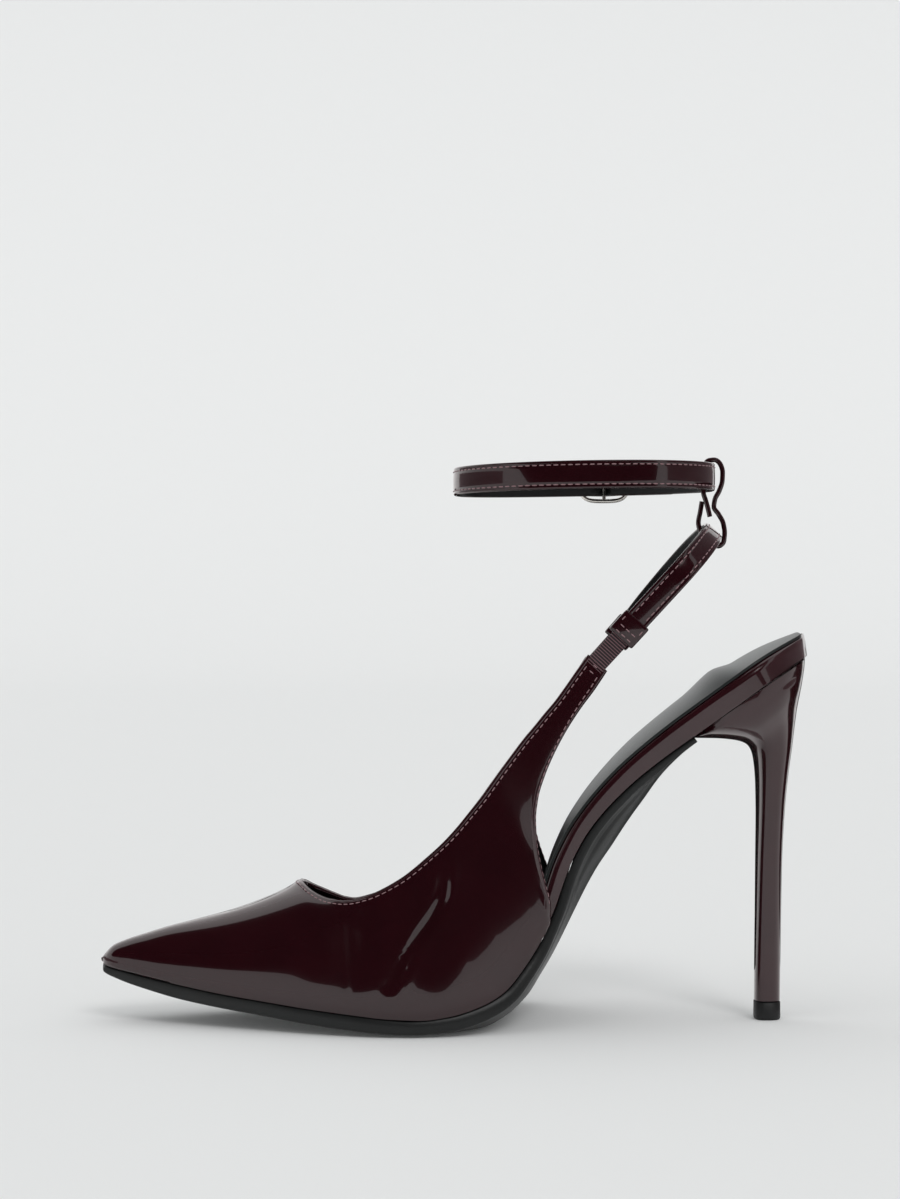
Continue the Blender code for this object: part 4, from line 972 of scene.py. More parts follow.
def outsole_rings():
    """Across: half the points over the upper face and both edges, the rest along the underside,
    where the depth is the edge plus the belly times 1 - |b|^3, less the groove."""
    table_x = SOLE_COLUMNS["x"]
    x = finer(np.append(table_x[table_x < OUTSOLE_END], OUTSOLE_END), 6)
    medial_half, lateral_half = sole("medial", x), sole("lateral", x)
    middle, half = (lateral_half - medial_half) / 2, (lateral_half + medial_half) / 2
    edge, belly = sole("edge", x), sole("belly", x)
    level = np.linspace(-1, 1, 9)[None, :]
    top_y = middle[:, None] + (half - TOP_EDGE_MM)[:, None] * level
    top_h = np.zeros_like(top_y)
    turn = np.linspace(0, math.pi / 2, 5)[None, :]
    bend = np.minimum(0.9, 0.35 * edge)[:, None]
    side_y = middle[:, None] + half[:, None] - bend * (1 - np.cos(turn))
    side_h = -(edge[:, None] - bend) - bend * np.sin(turn)
    upright_y = np.repeat(middle[:, None] + half[:, None], 2, axis=1)
    upright_h = np.stack([np.full(len(x), -TOP_EDGE_MM), -(edge - bend[:, 0]) * 0.6], axis=1)
    b = np.linspace(1, -1, 61)[None, 1:-1]
    under_y = middle[:, None] + (half[:, None] - bend) * b
    waist = (step(x, 12.0, 24.0) * (1 - step(x, 60.0, 69.0)))[:, None]
    from_edge = half[:, None] - bend - np.abs(half[:, None] - bend) * np.abs(b)
    groove = GROOVE_DEPTH * waist * np.exp(-(((from_edge - GROOVE_INSET) / GROOVE_HALF_WIDTH) ** 2))
    under_h = -edge[:, None] - belly[:, None] * (1 - np.abs(b) ** 3) + groove
    mirror = 2 * middle[:, None]
    other = [mirror - side_y[:, ::-1], mirror - upright_y[:, ::-1]]
    y = np.concatenate([top_y, upright_y, side_y, under_y, *other], axis=1)
    height = np.concatenate(
        [top_h, upright_h, side_h, under_h, side_h[:, ::-1], upright_h[:, ::-1]], axis=1
    )
    rings = sole_point(np.repeat(x[:, None], y.shape[1], axis=1), y, height)
    rings[..., 2] = np.maximum(rings[..., 2], 0.0)
    return rings


outsole = ring_piece("outsole_resin", outsole_rings(), [sole_resin], shade=60)
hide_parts("outsole")

# %% [markdown]
# ## Insole and sock
# The insole board is wrapped in the same patent leather, with softly rounded edges that show from
# the waist back. The sock on it is a thin foam pad under grey lining leather, fullest under the
# heel and pressed flat at its edge. Both are layers on the sole's line: only their heights above
# it, the radius of the upper edge and the crown across differ.

# %% Layers on the sole's line
SOCK_START, SOCK_END = -91.0, 103.9
INSOLE_START = -93.0
SOCK_INSET = 1.1
SOCK_SETTLED_MM = 1.3  # how much lower the pad lies between the ball and the seat
SOCK_THICKNESS_MM = 0.85  # at its edge
EDGE_BEAD_MM = 0.35
RAND_UNDERCUT_MM = 0.6


def layer_rings(x, inset, low, high, crown, round_top, round_foot=0.4, bead=0.0, undercut=0.0):
    """Sections with four round corners. Across the top the height rises by crown * (1 - s^2), and
    by a bell-shaped bead along both edges where the cover is turned in."""
    medial_half = sole("medial", x) + sole("proud", x) - inset
    lateral_half = sole("lateral", x) + sole("proud", x) - inset
    middle = ((lateral_half - medial_half) / 2)[:, None]
    half = ((lateral_half + medial_half) / 2)[:, None]
    low, high, crown = low[:, None], high[:, None], crown[:, None]
    big = np.minimum(np.minimum(round_top, (high - low) * 0.6), half * 0.5)
    small = np.minimum(np.minimum(round_foot, (high - low) * 0.25), half * 0.3)
    turn = np.linspace(0, math.pi / 2, 7)[None, :]
    foot_y, foot_h = half - undercut - small * (1 - np.sin(turn)), low + small * (1 - np.cos(turn))
    top_y, top_h = half - big * (1 - np.cos(turn)), high - big * (1 - np.sin(turn))
    between = np.array([0.08, 0.92])[None, :]
    side_y = foot_y[:, -1:] + (top_y[:, :1] - foot_y[:, -1:]) * between
    side_h = foot_h[:, -1:] + (top_h[:, :1] - foot_h[:, -1:]) * between
    foot_y, foot_h = np.hstack([foot_y, side_y]), np.hstack([foot_h, side_h])
    s = np.sin(np.linspace(math.pi / 2, -math.pi / 2, 41))[None, 1:-1]
    flat_y, flat_h = (half - big) * s, high + crown * (1 - s * s)
    from_edge = (half - big) * (1 - np.abs(s))
    flat_h = flat_h + bead * np.exp(-(((from_edge - 0.35) / 0.3) ** 2))
    offset = np.concatenate([foot_y, top_y, flat_y, -top_y[:, ::-1], -foot_y[:, ::-1]], axis=1)
    height = np.concatenate([foot_h, top_h, flat_h, top_h[:, ::-1], foot_h[:, ::-1]], axis=1)
    return sole_point(np.repeat(x[:, None], offset.shape[1], axis=1), middle + offset, height)


def layer_places(start, end=None):
    """Places along the sole from start to end, with more between those of the table."""
    table_x = SOLE_COLUMNS["x"]
    inside = table_x[(table_x > start + 2) & (table_x <= (end or table_x[-1]))]
    return finer(np.concatenate([[start], inside]), 6)


x = layer_places(INSOLE_START)
rings = layer_rings(
    x,
    inset=0.0,
    low=np.full(len(x), GAP),
    high=sole("height", x),
    crown=0 * x,
    round_top=1.8,
    bead=EDGE_BEAD_MM,
    undercut=RAND_UNDERCUT_MM,
)
insole = ring_piece("covered_insole", rings, [patent_cover], shade=60)
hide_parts("insole_board")

x = layer_places(SOCK_START, SOCK_END)
low = sole("height", x) + 0.12
settled = SOCK_SETTLED_MM * step(x, 8.0, 24.0) * (1 - step(x, 74.0, 84.0))
crown = np.maximum(sole("crown", x) - settled, 0.2)
high = low + SOCK_THICKNESS_MM
rings = layer_rings(x, SOCK_INSET, low, high, crown, round_top=0.7, round_foot=0.15)
sock = ring_piece("padded_sock", rings, [sock_leather], shade=60)
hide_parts("insole_sock")

# %% [markdown]
# ## Heel and top piece
# A stiletto heel is moulded plastic over a steel pin, covered in one piece of the upper's leather.
# Its sections are round behind and flat in front, and shrink fast below the seat. Two powers of a
# cosine give such a section. The top piece is a hard tip with a slight lip and a soft lower edge.

# %% Heel
HEEL = (
    ("front_x", "front_z", "back_x", "back_z", "half"),
    (70.4, 85.6, 104.6, 108.1, 23.6),
    (71.3, 84.3, 104.5, 106.2, 23.4),
    (77.4, 84.2, 104.1, 103.6, 22.4),
    (82.5, 83.8, 103.6, 100.6, 20.6),
    (85.8, 83.1, 103.0, 97.4, 18.2),
    (88.0, 81.9, 102.3, 93.4, 15.6),
    (89.3, 79.8, 101.7, 88.4, 13.2),
    (90.0, 76.2, 101.0, 82.0, 11.2),
    (90.4, 70.4, 99.9, 73.6, 9.6),
    (90.5, 62.0, 98.9, 63.4, 8.2),
    (90.3, 47.0, 98.1, 47.6, 6.7),
    (90.1, 30.0, 97.8, 30.2, 5.5),
    (89.9, 15.0, 97.6, 15.0, 4.8),
    (89.8, 5.7, 97.5, 5.7, 4.4),
)


ROUND_BEHIND = 2.2
FLAT_IN_FRONT = 3.6
ROUND_ACROSS = 2.3


def heel_section(front, back, half_width, points=72):
    """A closed section: |cos|^(2/behind) behind the middle and |cos|^(2/front) in front of it,
    against |sin|^(2/across). The higher the power, the squarer the section."""
    turn = np.linspace(0, 2 * math.pi, points, endpoint=False)
    c, s = np.cos(turn), np.sin(turn)
    along = np.where(c > 0, np.abs(c) ** (2 / ROUND_BEHIND), -np.abs(c) ** (2 / FLAT_IN_FRONT))
    across = np.sign(s) * np.abs(s) ** (2 / ROUND_ACROSS)
    middle, reach = (front + back) / 2, (back - front) / 2
    spot = middle[:, None] + along * reach[:, None]
    return spot, half_width * across


def heel_rings(front_x, front_z, back_x, back_z, half_width):
    """A section of the heel for each level, between its front and back points in side view."""
    rings = []
    for fx, fz, bx, bz, w in zip(front_x, front_z, back_x, back_z, half_width):
        spot, y = heel_section(np.array([fx, fz]), np.array([bx, bz]), w)
        rings.append(np.stack([spot[0], y, spot[1]], axis=1))
    return np.array(rings)


rings = heel_rings(*[finer(c, 8) for c in columns(HEEL).values()])
rings[0][:, 2] = sole("z", rings[0][:, 0])
heel = ring_piece("covered_heel", rings, [patent_cover], shade=60)
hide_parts("heel")

# The tip from its top down. lip: how far it stands out in front. wider: behind and at the sides.
HEEL_TIP = (
    ("z", "lip", "wider"),
    (5.4, 0.0, -0.25),
    (5.15, 0.05, 0.0),
    (1.0, 0.1, 0.05),
    (0.5, 0.05, 0.03),
    (0.12, -0.15, -0.12),
    (0.0, -0.4, -0.35),
)
TIP_FRONT, TIP_BACK, TIP_HALF = 89.75, 97.6, 4.4
z, lip, wider = columns(HEEL_TIP).values()
rings = heel_rings(TIP_FRONT - lip, z, TIP_BACK + wider, z, TIP_HALF + wider)
top_piece = ring_piece("heel_tip", rings, [tip_rubber], shade=60)
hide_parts("top_piece")

# %% [markdown]
# ## Straps
# A strap is a patent face folded over a core and sewn to a black lining that stays a little
# narrower. Both are sections carried along the strap's middle: a rectangle with round corners whose
# outer face swells between the two rows of stitches and dips under them.

# %% Strap sections
FACE_MM = 1.2
BACKING_MM = 0.6
ROW_FROM_EDGE_MM = 1.25


def strap_face(width, crown=0.14, dip=0.12):
    """The patent layer: half a millimetre of round edge, then across the outer face a rise of
    crown * (1 - s^2), less a bell-shaped dip under each row of stitches."""
    box = rounded_box(width, FACE_MM, 0.5)
    reach = width / 2 - 0.5
    across = np.linspace(-reach, reach, 25)[1:-1]
    rise = crown * (1 - (across / reach) ** 2)
    row = dip * np.exp(-(((np.abs(across) - (width / 2 - ROW_FROM_EDGE_MM)) / 0.35) ** 2))
    face = np.stack([FACE_MM / 2 + rise - row, across], axis=1)
    return np.concatenate([box, face]) + [0.3, 0.0]


def strap_backing(width):
    """The lining under a strap, half a millimetre narrower than its face."""
    return rounded_box(width - 0.5, BACKING_MM, 0.25, 4) + [-0.6, 0.0]


def strap_rows(path, out, up, width):
    """The two rows of stitches on a strap's face, as paths with their normals."""
    rows = []
    for side in (-1, 1):
        row = path + out * (FACE_MM / 2 + 0.26) + up * side * (width / 2 - ROW_FROM_EDGE_MM)
        rows.append((row, out))
    return rows


# %% [markdown]
# ## The sling and its elastics
# The sling lies in one slanted plane: two straight sides that spread a little, then half an ellipse
# round the heel. Its ends are folded over the elastic and sewn down as thicker sleeves. On the
# outer side of the foot it lies lower, as on any pump, because the ankle bone is lower there.

# %% Sling
SLING_START = (41.5, 107.15)
SLING_SLOPE = math.radians(47.5)
SLING_TURN_START = 33.0
SLING_TURN_DEPTH = 19.7
SLING_HALF_START = 25.4
SLING_HALF = 27.4
SLING_DIP = (
    ("along", "dip"),
    (0.0, 2.4),
    (14.0, 2.3),
    (26.0, 1.5),
    (38.0, 0.9),
    (52.7, 0.0),
)
SLING_WIDTH = 7.0
SLING_GATHER = 0.6
SLEEVE_WIDTH = 8.9
SLEEVE_THICKNESS = 2.7
SLEEVE_LENGTH = 7.6
GORE_LENGTH = 9.6
GORE_WIDTH = 5.8
GORE_THICKNESS = 1.2
RIB_PITCH_MM = 0.8


def in_sling_plane(along, y):
    """A point of the slanted plane of the sling: so far along its slope, and y."""
    start_x, start_z = SLING_START
    dip = columns(SLING_DIP)
    lower = np.where(y > 0, smooth(along, dip["along"], dip["dip"]), 0.0)
    x = start_x + along * math.cos(SLING_SLOPE) + lower * math.sin(SLING_SLOPE)
    z = start_z + along * math.sin(SLING_SLOPE) - lower * math.cos(SLING_SLOPE)
    return np.stack([x, y, z], axis=-1)


sling_up = np.array([-math.sin(SLING_SLOPE), 0.0, math.cos(SLING_SLOPE)])


def sling_half(along):
    """Half the width between the sides, so far along them."""
    share = (along - GORE_LENGTH) / (SLING_TURN_START - GORE_LENGTH)
    return SLING_HALF_START + 0.6 + (SLING_HALF - SLING_HALF_START - 0.6) * share


def sling_route(start):
    """The sling's middle line from so far along one side, round the heel and back: straight sides,
    then half an ellipse, depth * sin(turn) along and half * cos(turn) across."""
    sides = np.linspace(start, SLING_TURN_START, 16)[:-1]
    turn = np.linspace(0, math.pi, 90)
    along = np.concatenate([sides, SLING_TURN_START + SLING_TURN_DEPTH * np.sin(turn), sides[::-1]])
    y = np.concatenate([-sling_half(sides), -SLING_HALF * np.cos(turn), sling_half(sides)[::-1]])
    return in_sling_plane(along, y), along


fold_place = GORE_LENGTH + SLEEVE_LENGTH
route, along = sling_route(fold_place - 3.0)
up = np.tile(sling_up, (len(route), 1))
out = unit(np.cross(unit(np.gradient(route, axis=0)), up))
round_heel = np.clip((along - SLING_TURN_START) / SLING_TURN_DEPTH, 0, 1)
gathered = 1 - SLING_GATHER / SLING_WIDTH * round_heel**4
narrowing = np.stack([np.ones(len(route)), gathered], axis=1)[:, None, :]
rings = sweep(route, out, up, strap_face(SLING_WIDTH) * narrowing)
sling = ring_piece("sling_face", rings, [patent_oxblood])
rings = sweep(route, out, up, strap_backing(SLING_WIDTH) * narrowing)
backing = ring_piece("sling_backing", rings, [black_lining])
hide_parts("sling_strap")
beyond = along > fold_place - 0.5
first, last = np.flatnonzero(beyond)[[0, -1]]
part = slice(first, last + 1)
sling_stitches = [
    along_row(row[part], normal[part], 0.8, 0.8)
    for row, normal in strap_rows(route, out, up, SLING_WIDTH - 0.4)
]

# %% Sleeves and elastics
# The sleeve's sections: how far along it, and their share of its full size.
SLEEVE = (
    ("along", "size"),
    (0.0, 0.55),
    (0.12, 0.85),
    (0.4, 0.96),
    (1.0, 1.0),
    (3.8, 1.0),
    (6.6, 1.0),
    (7.2, 0.96),
    (7.48, 0.85),
    (7.6, 0.55),
)
GORE_TUCKED_MM = 1.6  # how far the elastic goes on under the leather at each end
for side, word in ((-1, "medial"), (1, "lateral")):
    outwards = np.array([0.0, float(side), 0.0])
    places, shrink = columns(SLEEVE).values()
    at = GORE_LENGTH + places
    path = in_sling_plane(at, side * sling_half(at))
    section = rounded_box(SLEEVE_WIDTH, SLEEVE_THICKNESS, 0.9)
    thinner = np.stack([shrink, 1 - (1 - shrink) * 0.25], axis=1)[:, None, :]
    normal, across = np.tile(outwards, (len(path), 1)), np.tile(sling_up, (len(path), 1))
    rings = sweep(path, normal, across, section * thinner)
    sleeve = ring_piece(f"sleeve_{word}", rings, [patent_oxblood])
    face = SLEEVE_THICKNESS / 2 - 0.02
    for away in END_ROWS_MM:
        spot = in_sling_plane(np.array(GORE_LENGTH + away), side * sling_half(GORE_LENGTH + away))
        reach = np.linspace(-SLEEVE_WIDTH / 2 + 0.9, SLEEVE_WIDTH / 2 - 0.9, 9)[:, None]
        row = spot + outwards * face + reach * sling_up
        sling_stitches.append(along_row(row, np.tile(outwards, (9, 1)), 0.3, 0.3))
    for edge in (-1, 1):
        row = path[3:6] + outwards * face + edge * (SLEEVE_WIDTH / 2 - 1.1) * sling_up
        row = row + np.array([[2.6], [0.0], [0.0]]) * unit(path[5] - path[3])
        sling_stitches.append(along_row(row, np.tile(outwards, (3, 1)), 0.2, 0.2))

    at = np.linspace(-GORE_TUCKED_MM, GORE_LENGTH + GORE_TUCKED_MM, 150)
    path = in_sling_plane(at, side * (SLING_HALF_START - 0.6 + 1.1 * at / GORE_LENGTH))
    ribs = 1 + 0.2 * np.cos(2 * math.pi * at / RIB_PITCH_MM)
    swollen = np.stack([ribs, 0 * ribs + 1], axis=1)[:, None]
    section = rounded_box(GORE_WIDTH, GORE_THICKNESS, 0.4, 4)[None] * swollen
    normal, across = np.tile(outwards, (len(path), 1)), np.tile(sling_up, (len(path), 1))
    rings = sweep(path, normal, across, section)
    count = np.repeat(at / RIB_PITCH_MM, rings.shape[1])
    uv = np.stack([count, 0 * count], axis=1)
    gore = ring_piece(f"ribbed_elastic_{word}", rings, [woven_elastic], uv=uv)
    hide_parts(f"gore_{word}")
stitch_rows("sling_stitches", sling_stitches)

# %% [markdown]
# ## The ankle strap
# Seen from above the strap is an oval ring, a little squarer than an ellipse. It starts inside the
# buckle, goes round the ankle, rises over the buckle's bar, passes under the frame again and ends
# in a rounded tip on top of its own start. A short table holds how far out it lies at each turn.

# %% Ankle strap
ANKLE_CENTRE_X = 38.8
ANKLE_HALF_X = 38.2
ANKLE_HALF_Y = 30.1
ANKLE_ROUNDNESS = 2.2
ANKLE_FRONT_Z = 160.8
ANKLE_RISE = 1.3
ANKLE_BOW = 0.3
ANKLE_OFFSET = (
    ("turn", "out"),
    (76.3, -2.2),
    (36.0, -2.2),
    (2.0, 0.0),
    (-259.0, 0.0),
    (-266.0, 0.15),
    (-272.6, 0.2),
    (-279.7, 3.8),
    (-286.8, 0.2),
    (-293.0, 0.1),
    (-299.0, -0.1),
    (-323.0, -0.1),
)
STRAP_WIDTH = 8.2
TIP_LENGTH = 5.0
TIP_ROW_MM = 2.6  # how far the stitches go round the strap's tip


def ankle_oval(turn, out):
    """A point of the oval at a turn in degrees, moved outwards, at the strap's height there."""
    t = np.radians(turn)
    c, s = np.cos(t), np.sin(t)
    power = 2 / ANKLE_ROUNDNESS
    x = ANKLE_HALF_X * np.sign(c) * np.abs(c) ** power
    y = ANKLE_HALF_Y * np.sign(s) * np.abs(s) ** power
    away = np.stack([x / ANKLE_HALF_X**2, y / ANKLE_HALF_Y**2], axis=-1)
    away /= np.linalg.norm(away, axis=-1, keepdims=True)
    x = ANKLE_CENTRE_X + x + out * away[..., 0]
    y = y + out * away[..., 1]
    along = (x - ANKLE_CENTRE_X) / ANKLE_HALF_X
    z = ANKLE_FRONT_Z + ANKLE_RISE * (along + 1) / 2 + ANKLE_BOW * (1 - along * along)
    return np.stack([x, y, z], axis=-1), away


table = columns(ANKLE_OFFSET)
turn = np.linspace(table["turn"][0], table["turn"][-1], 420)
route, away = ankle_oval(turn, smooth(-turn, -table["turn"], table["out"]))
up = np.tile([0.0, 0.0, 1.0], (len(route), 1))
out = unit(np.cross(up, unit(np.gradient(route, axis=0))))
left = np.cumsum(np.linalg.norm(np.diff(route, axis=0), axis=1))
left = left[-1] - np.concatenate([[0.0], left])
near_end = np.clip(left / TIP_LENGTH, 0.0, 1.0)
share = 0.2 + 0.8 * np.sqrt(1 - (1 - near_end) ** 2)
narrowing = np.stack([np.ones(len(route)), share], axis=1)[:, None, :]
rings = sweep(route, out, up, strap_face(STRAP_WIDTH) * narrowing)
ankle = ring_piece("ankle_strap_face", rings, [patent_oxblood])
rings = sweep(route, out, up, strap_backing(STRAP_WIDTH) * narrowing)
lined = ring_piece("ankle_strap_backing", rings, [black_lining])
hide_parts("ankle_strap")
rows = strap_rows(route, out, up, STRAP_WIDTH)
sewn = left > TIP_LENGTH * 0.8
ankle_stitches = [along_row(row[sewn], normal[sewn], 1.0, 0.2) for row, normal in rows]
tip_turn = np.linspace(-math.pi / 2, math.pi / 2, 15)
tip_start = np.flatnonzero(left <= TIP_LENGTH * 0.8)[0]
forward = unit(route[tip_start] - route[tip_start - 3])
tip_row = route[tip_start] + out[tip_start] * (FACE_MM / 2 + 0.26)
reach = STRAP_WIDTH / 2 - ROW_FROM_EDGE_MM
tip_row = tip_row + np.cos(tip_turn)[:, None] * forward * TIP_ROW_MM
tip_row = tip_row + np.sin(tip_turn)[:, None] * np.array([0, 0, reach])
ankle_stitches.append(along_row(tip_row, np.tile(out[tip_start], (15, 1)), 0.3, 0.3, 1.9))
stitch_rows("ankle_stitches", ankle_stitches)

# %% Punched holes in the strap's end
HOLE_TURNS = (-298.0, -307.0, -316.0)
# From the rim inwards: radius, and height over the strap's face.
HOLE_LEVELS = ((0.95, 0.10), (0.80, 0.17), (0.62, 0.14), (0.55, -0.1))
hole_points, hole_faces = [], []
around = 18
one_hole = np.arange(len(HOLE_LEVELS) * around).reshape(len(HOLE_LEVELS), around)
ring = np.linspace(0, 2 * math.pi, around, endpoint=False)
for hole in HOLE_TURNS:
    i = int(np.argmin(np.abs(turn - hole)))
    forward = unit(route[i] - route[i - 2])
    flat = np.cos(ring)[:, None] * forward + np.sin(ring)[:, None] * up[i]
    centre = route[i] + out[i] * (0.3 + FACE_MM / 2)
    shape = np.array([centre + flat * radius + out[i] * rise for radius, rise in HOLE_LEVELS])
    number = wrapped(one_hole) + one_hole.size * len(hole_points)
    hole_points.append(shape.reshape(-1, 3))
    hole_faces += [quads(number), [number[0, :-1]], [number[-1, :-1]]]
holes = make_piece("punched_holes", np.concatenate(hole_points), hole_faces, [black_lining])

# %% [markdown]
# ## The buckle
# A small wire buckle: an oval bent from round wire, with a bar across its middle and a prong that
# turns on the bar and rests on the front rail. Bent wire is a circle carried along a path. Two
# powers of a cosine give the rounded oval, and the prong is one wire bent from near the bar to the
# front rail, thinner at its tip.

# %% Buckle
BUCKLE_ANGLE = 80.3
BUCKLE_LENGTH = 16.0
BUCKLE_HEIGHT = 12.6
BUCKLE_OUT = 1.8
BUCKLE_ROUNDNESS = 3.4
BUCKLE_Z = 161.9
WIRE_RADIUS = 0.65
PRONG_RADIUS = 0.55
PRONG_ROUTE = ((0.9, 5.35), (0.0, 5.6), (-2.6, 5.2), (-5.0, 4.1), (-7.0, 3.45), (-8.3, 3.2))


def in_buckle_plane(along, out, z):
    """A point of the buckle: along the strap from its bar, outwards and up."""
    place, away = ankle_oval(np.array(BUCKLE_ANGLE), 0.0)
    forward = np.array([away[1], -away[0]])
    x = place[0] + along * forward[0] + out * away[0]
    y = place[1] + along * forward[1] + out * away[1]
    return np.stack([x, y, z + 0 * x], axis=-1)


def wire(route, radius, closed=False, around=16):
    """A circle carried along a path, kept square to it."""
    if closed:
        along = unit(np.roll(route, -1, axis=0) - np.roll(route, 1, axis=0))
    else:
        along = unit(np.gradient(route, axis=0))
    face = ankle_oval(np.array(BUCKLE_ANGLE), 0.0)[1]
    first = np.tile([face[0], face[1], 0.0], (len(route), 1))
    first = first - np.sum(first * along, axis=1, keepdims=True) * along
    weak = np.linalg.norm(first, axis=1) < 0.2
    first[weak] = np.cross(along[weak], [0.0, 0.0, 1.0])
    first = unit(first)
    turn = np.linspace(0, 2 * math.pi, around, endpoint=False)
    radius = np.broadcast_to(np.asarray(radius, float), (len(route),))
    circle = np.stack([np.cos(turn), np.sin(turn)], axis=1)[None] * radius[:, None, None]
    return sweep(route, first, np.cross(along, first), circle)


turn = np.linspace(0, 2 * math.pi, 120, endpoint=False)
c, s = np.cos(turn), np.sin(turn)
reach_x, reach_z = BUCKLE_LENGTH / 2 - WIRE_RADIUS, BUCKLE_HEIGHT / 2 - WIRE_RADIUS
along = reach_x * np.sign(c) * np.abs(c) ** (2 / BUCKLE_ROUNDNESS)
z = BUCKLE_Z + reach_z * np.sign(s) * np.abs(s) ** (2 / BUCKLE_ROUNDNESS)
route = in_buckle_plane(along, BUCKLE_OUT, z)
smoother = (np.roll(route, 1, axis=0) + route + np.roll(route, -1, axis=0)) / 3
rings = wire(smoother, WIRE_RADIUS, closed=True)
frame_piece = ring_piece("buckle_wire", rings, [nickel], closed=True, shade=80)
z = np.linspace(BUCKLE_Z - reach_z, BUCKLE_Z + reach_z, 24)
rings = wire(in_buckle_plane(0 * z, BUCKLE_OUT, z), WIRE_RADIUS * 0.9)
bar = ring_piece("buckle_bar", rings, [nickel], shade=80)
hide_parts("buckle_frame")
along, outward = through(PRONG_ROUTE, 40).T
taper = PRONG_RADIUS * (1 - 0.25 * step(np.arange(40), 26, 39))
rings = wire(in_buckle_plane(along, outward, BUCKLE_Z), taper)
prong = ring_piece("prong_wire", rings, [nickel], shade=80)
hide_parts("buckle_prong")

# %% [markdown]
# ## The cord
# A thin cord, 1.5 mm across, covered in a strip of the same patent skin. It loops over the ankle
# strap, draws in between the two straps and goes round the sling, and both of its ends stop free
# between the straps. It is a curve of one spline with a round bevel, through the solid's points.

# %% Link cord
CORD_ROUTE = (
    (76.5, -0.9, 150.4),
    (76.0, -0.8, 152.6),
    (75.3, -0.6, 155.2),
    (74.6, -0.4, 157.6),
    (74.4, -0.2, 162.0),
    (74.9, 0.0, 165.6),
    (76.2, 0.0, 167.3),
    (78.0, 0.0, 167.5),
    (79.7, 0.0, 166.2),
    (80.4, 0.0, 163.8),
    (80.3, 0.0, 161.2),
    (79.4, 0.1, 158.2),
    (78.1, 0.2, 155.6),
    (77.8, 0.3, 153.4),
    (79.2, 0.2, 151.2),
    (80.6, 0.0, 148.4),
    (81.0, 0.0, 145.6),
    (80.7, 0.0, 142.9),
    (79.1, 0.0, 141.6),
    (77.4, 0.0, 142.2),
    (75.7, 0.2, 144.1),
    (73.7, 0.5, 146.2),
    (73.2, 0.7, 148.6),
    (73.8, 0.9, 152.0),
    (74.3, 1.0, 155.0),
)
CORD_DIAMETER = 1.5
cord_route = through(CORD_ROUTE, 120) * MM
cord_curve = bpy.data.curves.new("covered_cord", "CURVE")
cord_curve.dimensions = "3D"
cord_curve.bevel_depth = CORD_DIAMETER / 2 * MM
cord_curve.bevel_resolution = 5
cord_curve.use_fill_caps = True
spline = cord_curve.splines.new("POLY")
spline.points.add(len(cord_route) - 1)
spline.points.foreach_set("co", np.hstack([cord_route, np.ones((len(cord_route), 1))]).ravel())
cord_curve.materials.append(patent_oxblood)
cord_piece = bpy.data.objects.new("covered_cord", cord_curve)
bpy.context.scene.collection.objects.link(cord_piece)
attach(cord_piece, "root")
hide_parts("link_cord")

# %% [markdown]
# ## Studio
# Patent leather is all reflection, so the light is built from what it reflects. The floor and the
# background are one pale sweep with a very faint glow, which keeps its shadows soft. A black card
# just in front of the camera makes the deep dark of the side: its slanted lower edges draw the
# border between the dark and the light band near the sole. A second one above, two strips on the
# floor behind the shoe and a grey card at each side do the same for the rest. All of them show in
# reflections alone.

# %% Floor and background
FLOOR_SIZE = 8.0
SWEEP_START = 3.0
SWEEP_RADIUS = 2.0
WALL_TOP = 6.0
FLOOR_BELOW = 0.02 * MM  # so that the sole and the floor are not in one plane


def studio_sweep():
    """A floor that turns up into a wall: level, a quarter circle, then upright."""
    turn = np.linspace(0, math.pi / 2, 32)
    level = np.linspace(-FLOOR_SIZE, SWEEP_START, 12)
    bend = SWEEP_START + SWEEP_RADIUS * np.sin(turn[1:])
    y = np.concatenate([level, bend, [SWEEP_START + SWEEP_RADIUS]])
    z = np.concatenate([0 * level, SWEEP_RADIUS * (1 - np.cos(turn[1:])), [WALL_TOP]])
    z = z - FLOOR_BELOW
    x = np.array([-FLOOR_SIZE, FLOOR_SIZE])
    y_pairs, z_pairs = [np.repeat(values[:, None], 2, 1) for values in (y, z)]
    points = np.stack([np.repeat(x[None], len(y), 0), y_pairs, z_pairs], -1)
    return points.reshape(-1, 3), quads(np.arange(2 * len(y)).reshape(-1, 2))


def stage_mesh(name, points, faces, material):
    """A piece of the studio from points in metres, which is no part of the shoe."""
    mesh = bpy.data.meshes.new(name)
    mesh.from_pydata(points, [], np.asarray(faces).tolist())
    mesh.shade_smooth()
    mesh.materials.append(material)
    thing = bpy.data.objects.new(name, mesh)
    bpy.context.scene.collection.objects.link(thing)
    return thing


paper, _, _ = start_material(
    "studio_paper",
    Base_Color=(0.80, 0.80, 0.80, 1.0),
    Roughness=0.9,
    Specular_IOR_Level=0.0,
    Emission_Color=linear("#fbfefd"),
    Emission_Strength=0.04,
)
stage_mesh("studio_floor", *studio_sweep(), paper)

card, _, _ = start_material(
    "black_card", Base_Color=(0.01, 0.01, 0.01, 1.0), Roughness=1.0, Specular_IOR_Level=0.0
)
grey, _, _ = start_material(
    "grey_card", Base_Color=(0.24, 0.20, 0.21, 1.0), Roughness=1.0, Specular_IOR_Level=0.0
)


def black_card(name, corners, material=card):
    """A card seen only in reflections: it throws no shadow and no camera sees it."""
    thing = stage_mesh(name, np.array(corners), [list(range(len(corners)))], material)
    for ray in ("camera", "diffuse", "shadow", "transmission"):
        setattr(thing, f"visible_{ray}", False)


CARD_Y = -0.70
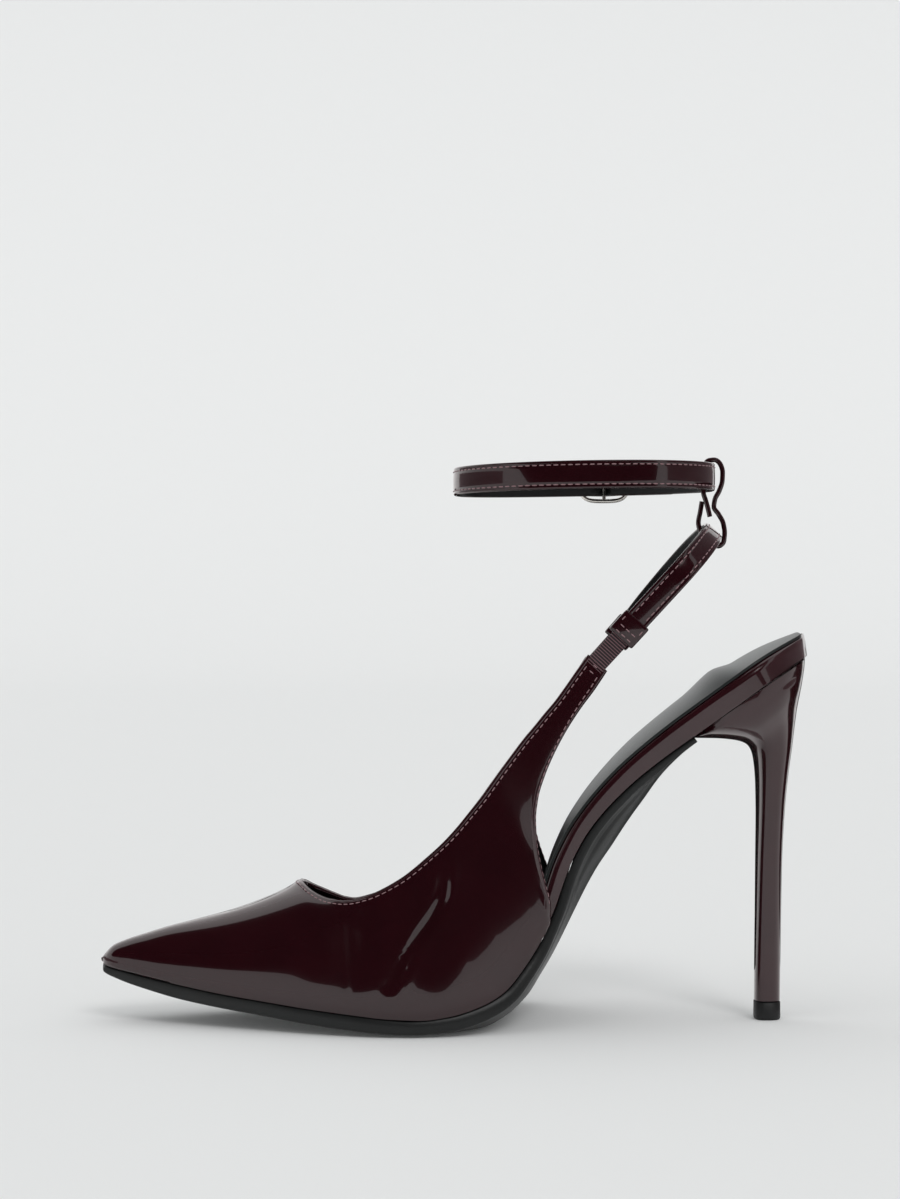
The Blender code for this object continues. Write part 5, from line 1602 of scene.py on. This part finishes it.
# x and z of the front card's corners. Its lower edge draws the light bands on the shoe.
CARD_OUTLINE = (
    (-0.44, 0.08),
    (-0.14, 0.076),
    (-0.08, 0.045),
    (0.07, 0.043),
    (0.258, 0.007),
    (0.322, 0.04),
    (0.45, 0.085),
    (0.60, 0.088),
    (0.776, 0.10),
    (0.85, 0.35),
    (0.90, 2.60),
    (-4.20, 2.60),
    (-1.90, 1.36),
    (-1.21, 0.845),
    (-0.85, 0.593),
    (-0.70, 0.416),
    (-0.61, 0.274),
    (-0.45, 0.12),
)
black_card("card_front", [(x, CARD_Y, z) for x, z in CARD_OUTLINE])
ABOVE_Z = 2.6
CARD_ABOVE = ((-4.5, CARD_Y), (0.9, CARD_Y), (0.9, -0.3), (-1.0, -0.3), (-1.0, 0.9), (-4.5, 0.9))
black_card("card_above", [(x, y, ABOVE_Z) for x, y in CARD_ABOVE])
FLOOR_CARD_Z = 0.001
BEHIND_NEAR, BEHIND_FAR = 0.10, 1.5
BEHIND_TOP = 0.12


def card_behind(name, left, right):
    """A black strip of floor behind the shoe that turns up into a low wall, between two sides given
    as x on the floor's near edge and x at the wall."""
    near, far = BEHIND_NEAR, BEHIND_FAR
    floor_part = [(left[0], near, FLOOR_CARD_Z), (right[0], near, FLOOR_CARD_Z)]
    floor_part += [(right[1], far, FLOOR_CARD_Z), (left[1], far, FLOOR_CARD_Z)]
    wall_part = [(left[1], far, FLOOR_CARD_Z), (right[1], far, FLOOR_CARD_Z)]
    wall_part += [(right[1], far, BEHIND_TOP), (left[1], far, BEHIND_TOP)]
    black_card(f"{name}_floor", floor_part)
    black_card(f"{name}_wall", wall_part)


card_behind("card_behind", (0.03, -0.78), (0.16, 0.66))
card_behind("card_right", (0.20, 1.05), (1.2, 3.0))
SIDE_NEAR, SIDE_LOW = -1.2, 0.06
for name, x, far, top in (("card_left", -2.0, 2.2, 0.42), ("card_far_right", 2.0, 3.0, 3.4)):
    corners = [(x, SIDE_NEAR, SIDE_LOW), (x, far, SIDE_LOW), (x, far, top), (x, SIDE_NEAR, top)]
    black_card(name, corners, grey)

# %% Light
world = bpy.data.worlds.new("studio")
world.use_nodes = True
world.node_tree.nodes["Background"].inputs["Color"].default_value = linear("#f9fbfb")
world.node_tree.nodes["Background"].inputs["Strength"].default_value = 0.80
bpy.context.scene.world = world
bpy.context.scene.view_settings.view_transform = "Standard"

KEY_AZIMUTH = math.radians(21)
KEY_HEIGHT = math.radians(40)
key = bpy.data.lights.new("key_light", "SUN")
key.energy = 0.7
key.angle = math.radians(20)
key_object = bpy.data.objects.new("key_light", key)
key_object.rotation_euler = (math.radians(90) - KEY_HEIGHT, 0.0, KEY_AZIMUTH)
bpy.context.scene.collection.objects.link(key_object)
print("studio ready")
